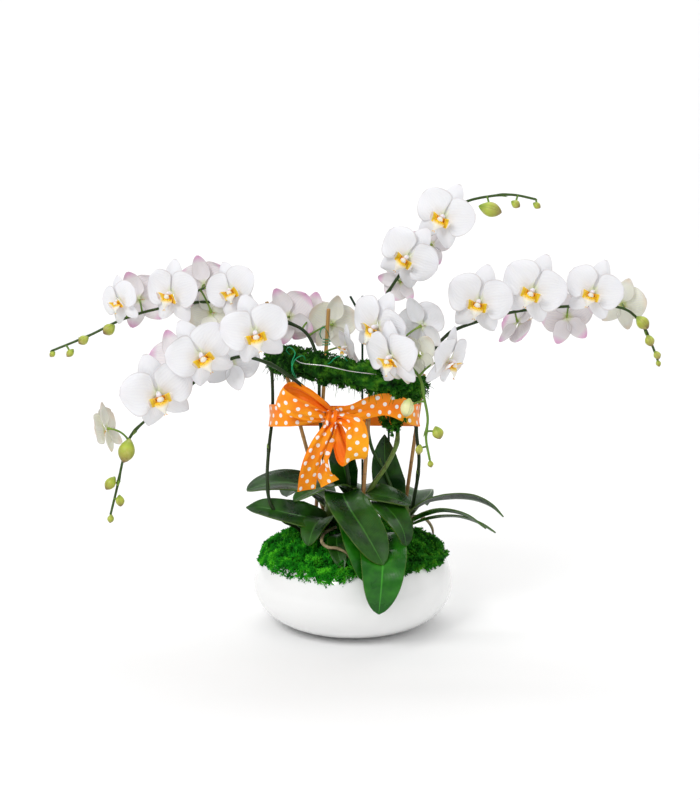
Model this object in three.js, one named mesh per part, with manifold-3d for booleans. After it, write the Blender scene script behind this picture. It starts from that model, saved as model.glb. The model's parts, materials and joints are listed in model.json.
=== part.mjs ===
// Potted orchids: three moth orchids (Phalaenopsis) planted together in a round glazed bowl,
// with six arching flower spikes, support stakes, a hoop of moss and a dotted ribbon tied round the stems.
// Millimetres, +Z up. The origin is the centre of the bowl's foot and the arrangement faces -Y.

import * as THREE from 'three';
import { mergeVertices } from 'three/addons/utils/BufferGeometryUtils.js';
import Module from 'manifold-3d';

const wasm = await Module();
wasm.setup();

// Driving dimensions.

const CLEARANCE = 0.3; // gap between two pieces that touch
const WELD = 1e-4; // corners this near are one corner
const SMOOTHING = 0.03; // how far a cut surface may be simplified
const BOWL = {
  width: 278,
  height: 103,
  foot: 124,
  mouth: 248,
  wall: 5,
  floor: 6,
  bellyHeight: 58,
  segments: 28,
};
// The bark ends a drop under the rim and covers the root balls, and packing is its gap to the glaze.
const SOIL = { drop: 7, overRoots: 16, packing: 0.7 };
const MOSS = { mound: 44 };
const PLANTING = { width: 838, height: 527 }; // spread and rise of the flower spikes
const DRAWN = { width: 838, height: 527 }; // the spread and rise that the routes below are drawn at
const STEM = { radius: 2.4, sides: 5, step: 26 };
const PEDICEL = { radius: 1.4, sides: 4, steps: 2, seat: 2.2, shortest: 2, flowerArch: 5, budArch: 2 };
const FLOWER = { span: 95, petalThickness: 1.6, hubRadius: 4.5, hubSides: 6, sepalDepth: 5, petalDepth: 1.5 };
const BUD = { sides: 5, rings: 4 };
const LEAF = { thickness: 2.2, steps: 5, fold: 0.22, rimReach: 14 };
const CROWN = { footRadius: 11, topRadius: 9, depth: 30, sides: 10 };
const STAKE = { radius: 2.9, sides: 6, wireRadius: 1.6, wireStep: 60 };
const RIBBON = { width: 30, thickness: 0.8, depth: 156, height: 214.5, fall: 0.19, arch: 15, tailWidth: 24 };
const KNOT = { width: 18, depth: 15, height: 20, x: -28 };
const HOOP = { width: 184, depth: 178, tube: 20, height: 273, x: -10, fallRight: 0.2, fallBack: 0.15 };

const SOIL_LEVEL = BOWL.height - SOIL.drop;
const ROOT_LEVEL = SOIL_LEVEL - SOIL.overRoots;
const SPREAD = PLANTING.width / DRAWN.width;
const RISE = PLANTING.height / DRAWN.height;
const UP = new THREE.Vector3(0, 0, 1);

// Flower spikes. Each route is chosen by hand and runs from the bark to the last bud, in heights over
// the root level.
// A flower is [name, x, y, z, turn, nod, roll, size]: turn is the heading of its face away from the front,
// nod lifts the face, roll turns it clockwise, and size is a share of the flower span.
// A bud is [x, y, z, width, length], and it hangs or rises along its own pedicel.

const SPIKES = {
  spike_upper_left: {
    route: [
      [-20, 16, -40], [-32, 20, 60], [-42, 26, 150], [-47, 28, 220], [-50, 28, 290], [-66, 40, 325],
      [-95, 46, 340],
      [-145, 44, 356], [-205, 38, 368], [-277, 30, 358], [-320, 25, 345], [-364, 20, 324], [-418, 18, 302],
    ],
    flowers: [
      ['flower_a1', -321, 8, 372, -35, 0, -18, 0.72],
      ['flower_a2', -250, 12, 382, -28, 0, 3, 0.94],
      ['flower_a4', -300, 62, 370, -175, 10, 20, 0.88],
      ['flower_f1', -89, 64, 345, 170, -5, 25, 0.86],
      ['flower_f3', -30, 66, 334, -160, 0, -10, 0.82],
    ],
    buds: [[-336, 12, 333, 16, 20], [-372, 14, 318, 13, 17], [-391, 14, 300, 10, 14], [-416, 16, 298, 8, 10]],
  },
  spike_left: {
    route: [
      [-58, -2, -40], [-62, -6, 30], [-76, -26, 60], [-98, -42, 78], [-113, -48, 102], [-117, -44, 132],
      [-116, -22, 170], [-112, -2, 210], [-111, 0, 250], [-114, 0, 305], [-121, 4, 340], [-143, 12, 378],
      [-175, 20, 395], [-207, 24, 388], [-232, 26, 376],
    ],
    flowers: [
      ['flower_a3', -166, -4, 388, -20, 5, -23, 0.84],
      ['flower_a5', -206, 46, 392, 165, 5, 10, 0.84],
    ],
    buds: [[-238, 34, 366, 10, 14]],
  },
  spike_lower_left: {
    route: [
      [-6, -32, -40], [-5, -32, 60], [-8, -40, 147], [-18, -50, 197], [-31, -61, 236], [-57, -86, 262],
      [-80, -104, 284], [-110, -110, 304], [-147, -104, 312], [-178, -98, 299], [-204, -94, 280],
      [-236, -90, 254],
      [-268, -88, 230], [-295, -86, 203], [-306, -84, 172], [-314, -84, 138], [-325, -84, 96],
    ],
    flowers: [
      ['flower_b1', -126, -122, 346, 5, -10, -15, 0.99],
      ['flower_b2', -196, -120, 317, 10, -12, -32, 1.01],
      ['flower_b3', -253, -116, 265, 15, -12, -18, 1.07],
      ['flower_b4', -330, -84, 212, -105, -15, 10, 0.72],
    ],
    buds: [
      [-299, -98, 186, 22, 33], [-323, -90, 140, 14, 21], [-311, -90, 116, 12, 16],
      [-325, -85, 90, 9, 12],
    ],
  },
  spike_upper_right: {
    route: [
      [20, -27, -40], [16, -28, 60], [15, -28, 100], [30, -33, 128], [47, -38, 155], [60, -36, 186],
      [57, -23, 224],
      [48, -12, 259], [39, -4, 307], [37, 0, 356], [45, 0, 380], [80, 0, 432], [123, 0, 483], [148, -2, 506],
      [190, -2, 516], [216, -2, 517], [246, -2, 511],
    ],
    flowers: [
      ['flower_c1', 120, -26, 489, -20, 0, 26, 0.93],
      ['flower_c2', 72, -26, 435, -20, -5, 38, 0.94],
    ],
    buds: [[184, -8, 498, 20, 32], [218, -8, 505, 11, 14], [247, -4, 503, 9, 12]],
  },
  spike_right: {
    route: [
      [84, 21, -40], [82, 20, 40], [84, 16, 80], [90, 12, 120], [92, 8, 152], [88, 3, 190], [87, 0, 240],
      [98, 2, 284], [117, 4, 314], [135, 2, 331], [166, 0, 344], [216, 0, 358], [289, 0, 366], [344, 0, 367],
      [372, 0, 362], [388, 0, 350], [401, 0, 332], [412, 0, 308], [419, 0, 290],
    ],
    flowers: [
      ['flower_d1', 169, -28, 376, -12, -5, 13, 0.99],
      ['flower_d2', 241, -28, 391, -15, -5, 23, 1.0],
      ['flower_d3', 322, -28, 389, -20, -5, 18, 0.88],
      ['flower_d5', 298, 32, 348, 160, -5, 15, 0.84],
      ['flower_d6', 374, 30, 366, 150, 0, -15, 0.76],
    ],
    buds: [[394, -8, 345, 17, 23], [405, -6, 320, 13, 17], [416, -6, 300, 10, 13], [419, -2, 288, 7, 10]],
  },
  spike_front: {
    route: [
      [55, -8, -40], [57, -6, 40], [56, 4, 100], [43, 0, 137], [27, -6, 167], [20, -15, 204], [23, -31, 249],
      [31, -50, 293], [43, -70, 319], [57, -90, 318], [72, -104, 302], [87, -113, 284], [92, -114, 260],
      [97, -114, 232], [95, -114, 206], [100, -114, 178],
    ],
    flowers: [
      ['flower_e1', 48, -122, 314, -38, -12, -2, 0.93],
      ['flower_e2', 30, -96, 350, -40, -5, 22, 0.98],
      ['flower_e3', 92, -62, 348, 150, 5, 20, 0.8],
      ['flower_e5', 128, -100, 306, 65, -20, 10, 0.8],
    ],
    buds: [
      [70, -122, 248, 18, 25], [110, -118, 214, 15, 18], [86, -120, 192, 10, 14],
      [101, -116, 172, 8, 10],
    ],
  },
};

// Leaves. Each route runs from inside its crown to the tip, tilt turns the blade about its own length.

const BELLY_REACH = BOWL.width / 2 + LEAF.rimReach;

const PLANTS = {
  left: {
    crown: [-31, -4, 98],
    leaves: [
      {
        route: [[-32, 2, 92], [-62, 0, 112], [-94, -4, 120], [-125, -12, 118], [-147, -18, 112]],
        width: 58,
        tilt: -16,
      },
      {
        route: [[-32, -8, 66], [-56, -40, 78], [-90, -50, 88], [-124, -42, 94], [-147, -30, 91]],
        width: 54,
        tilt: -30,
      },
      { route: [[-30, -8, 62], [-42, -48, 80], [-54, -76, 72], [-60, -92, 54]], width: 42, tilt: 8 },
      { route: [[-30, 2, 84], [-56, 46, 104], [-80, 82, 98], [-98, 112, 72]], width: 56, tilt: 0 },
    ],
  },
  middle: {
    crown: [1, -11, 113],
    leaves: [
      {
        route: [[-1, -12, 108], [-22, -34, 124], [-46, -56, 124], [-66, -68, 118], [-80, -76, 112]],
        width: 44,
        tilt: 0,
      },
      {
        route: [
          [-3, -14, 102], [-14, -50, 115], [-5, -82, 103], [13, -108, 81], [28, -130, 60],
          [39, -141, 42],
        ],
        width: 62,
        tilt: 0,
      },
      {
        route: [[4, -10, 96], [20, -38, 112], [42, -56, 113], [62, -66, 110], [77, -72, 105]],
        width: 44,
        tilt: 14,
      },
      {
        route: [[5, -12, 84], [32, -50, 104], [53, -80, 95], [66, -104, 78], [70, -114, 60]],
        width: 42,
        tilt: 8,
      },
      {
        route: [[-2, -14, 70], [4, -70, 84], [10, -112, 66], [14, -137, 44], [14, -149, 22]],
        width: 54,
        tilt: -4,
      },
      {
        route: [[4, -14, 44], [34, -80, 60], [39, -122, 52]],
        overRim: [[37, 0, 26], [33, 3, -20]],
        width: 66,
        tilt: 0,
      },
      { route: [[-3, -5, 104], [-11, -20, 138], [-17, -30, 172], [-20, -38, 206]], width: 38, tilt: 0 },
    ],
  },
  right: {
    crown: [72, 4, 84],
    leaves: [
      {
        route: [[76, 4, 72], [102, 8, 88], [134, 12, 93], [170, 13, 92], [194, 9, 83], [211, 4, 69]],
        width: 36,
        tilt: -26,
      },
      {
        route: [[76, 0, 60], [102, -12, 76], [128, -16, 82], [158, -20, 76], [184, -26, 60]],
        width: 30,
        tilt: -22,
      },
      { route: [[66, 3, 76], [54, 6, 106], [46, 11, 137], [44, 16, 163], [44, 20, 184]], width: 48, tilt: 0 },
      { route: [[72, 8, 66], [90, 54, 92], [101, 88, 84], [110, 116, 58]], width: 48, tilt: 0 },
    ],
  },
};

const POLES = {
  stake_bamboo_1: { top: [-120, 34, 369], foot: [-12, 26, -42] },
  stake_bamboo_2: { top: [-34, 36, 359], foot: [-60, 48, -42] },
  stake_bamboo_3: { top: [24, -45, 268], foot: [4, -40, -42] },
  stake_bamboo_4: { top: [99, 30, 268], foot: [58, 32, -42] },
};

const WIRES = {
  stake_green_1: [[-4, 20, 378], [32, 20, 310], [44, 20, 262], [50, 18, 180], [48, 20, 60], [46, 20, -42]],
  stake_green_2: [[13, 25, 378], [13, 25, 200], [14, 27, -42]],
};

const COLOURS = {
  porcelain: { color: 0xf4f3ef, roughness: 0.22 },
  bark: { color: 0x5a4030, roughness: 0.95 },
  moss: { color: 0x5c8a2a, roughness: 1.0 },
  hoopMoss: { color: 0x38501f, roughness: 1.0 },
  stem: { color: 0x3d5226, roughness: 0.55 },
  petal: { color: 0xf6f4f8, roughness: 0.6 },
  leaf: { color: 0x24401f, roughness: 0.35 },
  crown: { color: 0x6a7a3a, roughness: 0.6 },
  bamboo: { color: 0xc8903f, roughness: 0.6 },
  greenWire: { color: 0x2f7a3a, roughness: 0.5 },
  ribbon: { color: 0xff8f14, roughness: 0.6 },
};

// Geometry helpers.

const drawn = ([x, y, z]) => new THREE.Vector3(x * SPREAD, y * SPREAD, z * RISE);

function toSolid(geometry) {
  geometry.deleteAttribute('normal');
  geometry.deleteAttribute('uv');
  const merged = mergeVertices(geometry, WELD);
  const mesh = new wasm.Mesh({
    numProp: 3,
    vertProperties: Float32Array.from(merged.attributes.position.array),
    triVerts: Uint32Array.from(merged.index.array),
  });
  return new wasm.Manifold(mesh);
}

function toGeometry(solid) {
  const { vertProperties, triVerts } = solid.getMesh();
  const geometry = new THREE.BufferGeometry();
  geometry.setAttribute('position', new THREE.BufferAttribute(vertProperties, 3));
  geometry.setIndex(new THREE.BufferAttribute(triVerts, 1));
  geometry.computeVertexNormals();
  return geometry;
}

function join(solids) {
  return solids.reduce((whole, solid) => whole.add(solid));
}

function largestBody(solid) {
  const bodies = solid.decompose();
  return bodies.reduce((best, body) => (body.volume() > best.volume() ? body : best));
}

// A round bar along a smooth curve through the points.
function tube(points, radius, steps, sides) {
  const corners = Array.from({ length: sides }, (_, i) => {
    const angle = (2 * Math.PI * i) / sides;
    return new THREE.Vector2(radius * Math.cos(angle), radius * Math.sin(angle));
  });
  const outline = new THREE.Shape(corners);
  const path = new THREE.CatmullRomCurve3(points);
  return toSolid(new THREE.ExtrudeGeometry(outline, { steps, bevelEnabled: false, extrudePath: path }));
}

// A thin blade bent along a spine: outline gives its share of the width at t, and fold lifts the edges of
// a blade that has two halves.
function blade({ spine, side, width, outline, thickness, fold, steps, halves, grow }) {
  const geometry = new THREE.BoxGeometry(1, 1, 1, halves, steps, 1);
  const position = geometry.attributes.position;
  for (let i = 0; i < position.count; i++) {
    const across = 2 * position.getX(i);
    const t = position.getY(i) + 0.5;
    const through = position.getZ(i) * (thickness + 2 * grow);
    const tangent = spine.getTangent(t);
    const right = side.clone().addScaledVector(tangent, -side.dot(tangent)).normalize();
    const normal = right.clone().cross(tangent);
    const half = (width * outline(t)) / 2 + grow;
    const point = spine.getPoint(t);
    point.addScaledVector(right, across * half);
    point.addScaledVector(normal, through + fold * Math.abs(across) * half);
    point.addScaledVector(tangent, grow * 2 * (t - 0.5));
    position.setXYZ(i, point.x, point.y, point.z);
  }
  return toSolid(geometry);
}

// The planting's pieces, in the order that they give way to each other: a later piece is cut clear of
// the earlier.
const planting = new THREE.Group();
const placed = [];

function boxesMeet(a, b) {
  return a.min.every((low, axis) => low <= b.max[axis] && b.min[axis] <= a.max[axis]);
}

function addPiece(name, colour, build) {
  let solid = build(0);
  for (const other of placed) {
    if (boxesMeet(solid.boundingBox(), other.boundingBox())) {
      solid = solid.subtract(other);
    }
  }
  const geometry = toGeometry(largestBody(solid).simplify(SMOOTHING));
  const mesh = new THREE.Mesh(geometry, new THREE.MeshStandardMaterial(COLOURS[colour]));
  mesh.name = name;
  planting.add(mesh);
  placed.push(build(CLEARANCE));
}

// The bowl: a low round belly that draws in to an open mouth.

function bowlRadius(z) {
  if (z < BOWL.bellyHeight) {
    const angle = Math.acos(1 - z / BOWL.bellyHeight);
    return BOWL.foot / 2 + ((BOWL.width - BOWL.foot) / 2) * Math.sin(angle);
  }
  const t = (z - BOWL.bellyHeight) / (BOWL.height - BOWL.bellyHeight);
  return BOWL.width / 2 - ((BOWL.width - BOWL.mouth) / 2) * t * t;
}

// The bowl's wall between two heights, moved out by the offset.
function wallProfile(from, to, offset) {
  const heights = [];
  const bellySteps = 5;
  const shoulderSteps = 3;
  for (let i = 0; i < bellySteps; i++) {
    heights.push(BOWL.bellyHeight * (1 - Math.cos((i / bellySteps) * (Math.PI / 2))));
  }
  for (let i = 0; i < shoulderSteps; i++) {
    heights.push(THREE.MathUtils.lerp(BOWL.bellyHeight, BOWL.height, i / shoulderSteps));
  }
  const between = heights.filter((z) => z > from + 1 && z < to - 1);
  return [from, ...between, to].map((z) => new THREE.Vector2(bowlRadius(z) + offset, z));
}

function lathe(profile, segments) {
  return toSolid(new THREE.LatheGeometry(profile, segments).rotateX(Math.PI / 2));
}

function bowl(grow) {
  const outer = wallProfile(0, BOWL.height, grow);
  const inner = wallProfile(BOWL.floor, BOWL.height, -BOWL.wall - grow).reverse();
  const axisFoot = new THREE.Vector2(0, 0);
  const axisFloor = new THREE.Vector2(0, BOWL.floor);
  return lathe([axisFoot, ...outer, ...inner, axisFloor], BOWL.segments);
}

// Stems, pedicels and buds.

const routeCurve = (route) => new THREE.CatmullRomCurve3(route.map(drawn));

const stemSteps = (curve) => Math.round(curve.getLength() / STEM.step);

// Points along the stem's straight runs, from one station of its curve to the next.
function stemPoints(curve) {
  const stations = curve.getSpacedPoints(stemSteps(curve));
  const perRun = 12;
  const points = [];
  for (let i = 1; i < stations.length; i++) {
    for (let j = 0; j <= perRun; j++) {
      points.push(stations[i - 1].clone().lerp(stations[i], j / perRun));
    }
  }
  return points;
}

function nearestOnStem(curve, target) {
  const nearer = (best, point) => (point.distanceTo(target) < best.distanceTo(target) ? point : best);
  return stemPoints(curve).reduce(nearer);
}

// The turned frame of a flower: right, up and out of its face.
function flowerFrame([, x, y, z, turn, nod, roll, size]) {
  const heading = THREE.MathUtils.degToRad(turn);
  const lift = THREE.MathUtils.degToRad(nod);
  const out = new THREE.Vector3(
    Math.sin(heading) * Math.cos(lift),
    -Math.cos(heading) * Math.cos(lift),
    Math.sin(lift),
  );
  const upright = UP.clone().addScaledVector(out, -out.z).normalize();
  const up = upright.applyAxisAngle(out, -THREE.MathUtils.degToRad(roll));
  const right = up.clone().cross(out);
  const basis = new THREE.Matrix4().makeBasis(right, up, out).setPosition(drawn([x, y, z]));
  return { basis, out, span: FLOWER.span * size };
}

function pedicel(curve, end, lead, grow) {
  const start = nearestOnStem(curve, end);
  const middle = start.clone().lerp(end, 0.5).add(lead);
  return tube([start, middle, end], PEDICEL.radius + grow, PEDICEL.steps, PEDICEL.sides);
}

function budSolid(curve, [x, y, z, width, length], grow) {
  const centre = drawn([x, y, z]);
  const away = centre.clone().sub(nearestOnStem(curve, centre)).normalize();
  const geometry = new THREE.SphereGeometry(1, BUD.sides, BUD.rings);
  geometry.scale(width / 2 + grow, length / 2 + grow, width / 2 + grow);
  geometry.applyQuaternion(new THREE.Quaternion().setFromUnitVectors(new THREE.Vector3(0, 1, 0), away));
  return toSolid(geometry.translate(centre.x, centre.y, centre.z));
}

function spike({ route, flowers, buds }, grow) {
  const curve = routeCurve(route);
  const parts = [tube(curve.points, STEM.radius + grow, stemSteps(curve), STEM.sides)];
  for (const flower of flowers) {
    const { basis, out } = flowerFrame(flower);
    const back = new THREE.Vector3().setFromMatrixPosition(basis);
    back.addScaledVector(out, PEDICEL.seat - 2 * FLOWER.hubRadius);
    const arch = UP.clone().sub(out).multiplyScalar(PEDICEL.flowerArch);
    parts.push(pedicel(curve, back, arch, grow));
  }
  for (const bud of buds) {
    const centre = drawn(bud.slice(0, 3));
    if (nearestOnStem(curve, centre).distanceTo(centre) > STEM.radius + PEDICEL.shortest) {
      parts.push(pedicel(curve, centre, UP.clone().multiplyScalar(PEDICEL.budArch), grow));
    }
    parts.push(budSolid(curve, bud, grow));
  }
  return join(parts);
}

// Flowers: three narrow sepals behind two broad petals, a lip that juts forward, and a hub behind them.

const SEPALS = [{ angle: 0, length: 0.5, width: 0.29 }, { angle: 145, length: 0.48, width: 0.28 },
  { angle: 215, length: 0.48, width: 0.28 }];
const PETALS = [{ angle: 76, length: 0.51, width: 0.46 }, { angle: 284, length: 0.51, width: 0.46 }];
const LOBE = [[0.42, -0.5], [0.8, -0.36], [1, 0], [0.8, 0.36], [0.42, 0.5]]; // shares of length and of width
const LIP = { seat: 2, sag: 0.02, drop: 0.13, hang: 4, reach: 0.15, width: 0.15, thickness: 3 };
const CUPPING = 0.05;

// One flat layer of lobes round the flower's centre, cupped forward between the centre and the tips.
function lobedLayer(lobes, span, depth, grow) {
  const outline = [];
  lobes.forEach(({ angle, length, width }, index) => {
    const turn = THREE.MathUtils.degToRad(angle);
    for (const [along, across] of LOBE) {
      const reach = along * (length * span + grow);
      const offset = across * (width * span + 2 * grow);
      const x = reach * Math.sin(turn) + offset * Math.cos(turn);
      outline.push(new THREE.Vector2(x, reach * Math.cos(turn) - offset * Math.sin(turn)));
    }
    const next = lobes[(index + 1) % lobes.length].angle + (index + 1 === lobes.length ? 360 : 0);
    const valley = THREE.MathUtils.degToRad((angle + next) / 2);
    const throat = FLOWER.hubRadius + grow;
    outline.push(new THREE.Vector2(throat * Math.sin(valley), throat * Math.cos(valley)));
  });
  const thickness = FLOWER.petalThickness + 2 * grow;
  const star = new THREE.Shape(outline);
  const geometry = new THREE.ExtrudeGeometry(star, { depth: thickness, bevelEnabled: false });
  const position = geometry.attributes.position;
  for (let i = 0; i < position.count; i++) {
    const reach = Math.min(1, Math.hypot(position.getX(i), position.getY(i)) / (span / 2));
    const cup = CUPPING * span * Math.sin(Math.PI * reach);
    position.setZ(i, position.getZ(i) + depth - thickness / 2 + cup);
  }
  return toSolid(geometry);
}

function flowerSolid(flower, grow) {
  const { basis, span } = flowerFrame(flower);
  const radius = FLOWER.hubRadius + grow;
  const height = 2 * FLOWER.hubRadius + 2 * grow;
  const hub = new THREE.CylinderGeometry(radius, radius, height, FLOWER.hubSides).rotateX(Math.PI / 2);
  hub.translate(0, 0, -FLOWER.hubRadius);
  const lipSpine = new THREE.QuadraticBezierCurve3(
    new THREE.Vector3(0, 0, -LIP.seat),
    new THREE.Vector3(0, -LIP.sag * span, LIP.reach * span),
    new THREE.Vector3(0, -LIP.drop * span - LIP.hang, LIP.reach * span),
  );
  const { thickness } = LIP;
  const lipShape = { width: LIP.width * span, outline: () => 1, thickness, fold: 0, steps: 2, halves: 1 };
  const parts = [
    toSolid(hub),
    lobedLayer(SEPALS, span, -FLOWER.sepalDepth, grow),
    lobedLayer(PETALS, span, -FLOWER.petalDepth, grow),
    blade({ spine: lipSpine, side: new THREE.Vector3(1, 0, 0), grow, ...lipShape }),
  ];
  return join(parts).transform(basis.elements);
}

// Leaves and crowns.

const leafOutline = (t) => Math.min(1, 0.42 + 1.7 * t) * Math.sqrt(Math.max(0.03, 1 - t ** 4));

function leaf({ route, overRim = [], width, tilt }, grow) {
  const hanging = overRim.map(([x, out, z]) => new THREE.Vector3(x * SPREAD, -BELLY_REACH - out, z * RISE));
  const spine = new THREE.CatmullRomCurve3([...route.map(drawn), ...hanging]);
  const ends = spine.getPoint(1).sub(spine.getPoint(0));
  const upright = ends.z > Math.hypot(ends.x, ends.y);
  const flat = upright ? new THREE.Vector3(1, 0, 0) : ends.clone().cross(UP).normalize();
  const side = flat.applyAxisAngle(ends.normalize(), THREE.MathUtils.degToRad(tilt));
  const { thickness, steps, fold } = LEAF;
  return blade({ spine, side, width, outline: leafOutline, thickness, fold, steps, halves: 2, grow });
}

function crown([x, y, top], grow) {
  const { footRadius, topRadius, depth, sides } = CROWN;
  const height = top * RISE + depth;
  const geometry = new THREE.CylinderGeometry(topRadius + grow, footRadius + grow, height + 2 * grow, sides);
  geometry.rotateX(Math.PI / 2).translate(x * SPREAD, y * SPREAD, height / 2 - depth);
  return toSolid(geometry);
}

// Stakes: straight bamboo canes, and green wires with a bent top.

function cane({ top, foot }, grow) {
  const steps = 1;
  return tube([drawn(foot), drawn(top)], STAKE.radius + grow, steps, STAKE.sides);
}

function wire(points, grow) {
  const curve = new THREE.CatmullRomCurve3(points.map(drawn));
  const rows = Math.round(curve.getLength() / STAKE.wireStep);
  return tube(curve.points, STAKE.wireRadius + grow, rows, STEM.sides);
}

// The ribbon band is stretched round the two outer stems. It falls to the back, and its front
// arches between the bow and the right-hand stem.

const BAND = bandEllipse();

function bandEllipse() {
  const half = RIBBON.depth / 2;
  const levels = [-RIBBON.width / 2, 0, RIBBON.width / 2].map((step) => RIBBON.height * RISE + step);
  const reach = (spikeName, sign) => {
    const points = stemPoints(routeCurve(SPIKES[spikeName].route));
    const held = points.filter((point) => point.z > levels[0] - 1 && point.z < levels[2] + 1);
    return Math.max(...held.map((point) => {
      const narrowing = Math.sqrt(1 - (point.y / half) ** 2);
      return (sign * point.x + STEM.radius + 2 * CLEARANCE) / narrowing;
    }));
  };
  const left = reach('spike_left', -1);
  const right = reach('spike_right', 1);
  return { x: (right - left) / 2, halfWidth: (right + left) / 2, halfDepth: half };
}

function bandHeight(x, y) {
  const start = KNOT.x * SPREAD;
  const share = THREE.MathUtils.clamp((x - start) / (BAND.x + BAND.halfWidth - start), 0, 1);
  const arch = y < 0 ? RIBBON.arch * Math.sin(Math.PI * share ** 1.3) ** 2 : 0;
  return RIBBON.height * RISE - RIBBON.fall * y + arch;
}

function ribbonBand(grow) {
  const { x, halfWidth, halfDepth } = BAND;
  const outer = new THREE.Shape();
  const inner = new THREE.Path();
  const wall = RIBBON.thickness + grow;
  outer.absellipse(x, 0, halfWidth + wall, halfDepth + wall, 0, Math.PI * 2);
  inner.absellipse(x, 0, halfWidth - grow, halfDepth - grow, 0, Math.PI * 2);
  outer.holes.push(inner);
  const depth = RIBBON.width + 2 * grow;
  const curveSegments = 18;
  const geometry = new THREE.ExtrudeGeometry(outer, { depth, bevelEnabled: false, curveSegments });
  const position = geometry.attributes.position;
  for (let i = 0; i < position.count; i++) {
    const rise = bandHeight(position.getX(i), position.getY(i));
    position.setZ(i, position.getZ(i) - depth / 2 + rise);
  }
  return toSolid(geometry);
}

// A stretch of ribbon: its side profile (along, forward) is swept across the ribbon's width,
// and turned so that it sets off from the knot at an angle below the horizontal.
function ribbonStretch({ profile, heading, width = RIBBON.width }, grow) {
  const middle = new THREE.SplineCurve(profile.map(([along, forward]) => new THREE.Vector2(along, forward)));
  const steps = 14;
  const half = RIBBON.thickness / 2 + grow;
  const edge = (sign) => {
    const points = [];
    for (let i = 0; i <= steps; i++) {
      const tangent = middle.getTangentAt(i / steps);
      const normal = new THREE.Vector2(-tangent.y, tangent.x);
      points.push(middle.getPointAt(i / steps).addScaledVector(normal, sign * half));
    }
    return points;
  };
  const outline = new THREE.Shape([...edge(1), ...edge(-1).reverse()]);
  const depth = width + 2 * grow;
  const geometry = new THREE.ExtrudeGeometry(outline, { depth, bevelEnabled: false });
  geometry.translate(0, 0, -depth / 2);
  const angle = THREE.MathUtils.degToRad(heading);
  const along = new THREE.Vector3(Math.cos(angle), 0, -Math.sin(angle));
  const forward = new THREE.Vector3(0, -1, 0);
  const basis = new THREE.Matrix4().makeBasis(along, forward, along.clone().cross(forward));
  geometry.applyMatrix4(basis.setPosition(KNOT_PLACE));
  return toSolid(geometry);
}

const KNOT_PLACE = knotPlace();

function knotPlace() {
  const x = KNOT.x * SPREAD;
  const front = BAND.halfDepth * Math.sqrt(1 - ((x - BAND.x) / BAND.halfWidth) ** 2);
  const y = -front - RIBBON.thickness - 2 * CLEARANCE - KNOT.depth / 2;
  return new THREE.Vector3(x, y, bandHeight(x, y));
}

const BOW_LOOPS = [
  { profile: [[2, 1], [26, 22], [56, 34], [74, 26], [70, 16], [40, 14], [4, -1]], heading: -153 },
  { profile: [[2, 1], [26, 18], [50, 26], [66, 18], [60, 6], [34, 4], [4, -1]], heading: 62 },
];
const BOW_TAILS = {
  ribbon_tail_left: {
    profile: [[10, 2], [36, 8], [62, 2], [86, 7], [106, 5]],
    heading: 110,
    width: RIBBON.tailWidth,
  },
  ribbon_tail_right: {
    profile: [[9, -3], [36, -7], [64, -6], [92, -7]],
    heading: 94,
    width: RIBBON.tailWidth,
  },
};

function bow(grow) {
  const knot = new THREE.BoxGeometry(KNOT.width + 2 * grow, KNOT.depth + 2 * grow, KNOT.height + 2 * grow);
  knot.translate(KNOT_PLACE.x, KNOT_PLACE.y, KNOT_PLACE.z);
  return join([toSolid(knot), ...BOW_LOOPS.map((loop) => ribbonStretch(loop, grow))]);
}

// The moss hoop lies tilted on the stems, and the moss mat is a low mound over the bark.

const HOOP_LUMPS = [{ count: 5, depth: 0.07, start: 1 }, { count: 9, depth: 0.05, start: 0 }];
const MAT_LUMPS = [{ count: 3, depth: 0.16, start: 2 }, { count: 7, depth: 0.1, start: 0 }];
const MAT_DOME = [[0.98, 0.25], [0.8, 0.55], [0.5, 0.74], [0, 0.84]]; // shares of the reach and of the mound

function lump(waves, angle) {
  return waves.reduce((sum, { count, depth, start }) => sum + depth * Math.sin(count * angle + start), 0);
}

function mossHoop(grow) {
  const sides = 6;
  const segments = 24;
  const geometry = new THREE.TorusGeometry(2, 1, sides, segments);
  const position = geometry.attributes.position;
  for (let i = 0; i < position.count; i++) {
    const point = new THREE.Vector3().fromBufferAttribute(position, i);
    const angle = Math.atan2(point.y, point.x);
    const out = Math.hypot(point.x, point.y) - 2;
    const tube = (HOOP.tube + grow) * (1 + lump(HOOP_LUMPS, angle));
    const x = Math.cos(angle) * ((HOOP.width / 2) * SPREAD + out * tube) + HOOP.x * SPREAD;
    const y = Math.sin(angle) * ((HOOP.depth / 2) * SPREAD + out * tube);
    const middle = HOOP.height * RISE - HOOP.fallRight * x - HOOP.fallBack * y;
    position.setXYZ(i, x, y, middle + point.z * tube);
  }
  return toSolid(geometry);
}

function mossMat() {
  const reach = BOWL.mouth / 2 - BOWL.wall - SOIL.packing;
  const rim = SOIL.drop;
  const profile = [
    new THREE.Vector2(0, CLEARANCE),
    new THREE.Vector2(bowlRadius(SOIL_LEVEL + CLEARANCE) - BOWL.wall - SOIL.packing, CLEARANCE),
    new THREE.Vector2(reach, rim),
    ...MAT_DOME.map(([out, up]) => new THREE.Vector2(out * reach, rim + up * MOSS.mound)),
  ];
  const geometry = new THREE.LatheGeometry(profile, BOWL.segments / 2).rotateX(Math.PI / 2);
  const position = geometry.attributes.position;
  for (let i = 0; i < position.count; i++) {
    const rise = Math.max(0, position.getZ(i) - rim);
    const angle = Math.atan2(position.getY(i), position.getX(i));
    const swell = (rise / MOSS.mound) * lump(MAT_LUMPS, angle);
    position.setZ(i, position.getZ(i) + rise * swell);
  }
  return toSolid(geometry).translate(0, 0, SOIL.overRoots);
}

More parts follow.
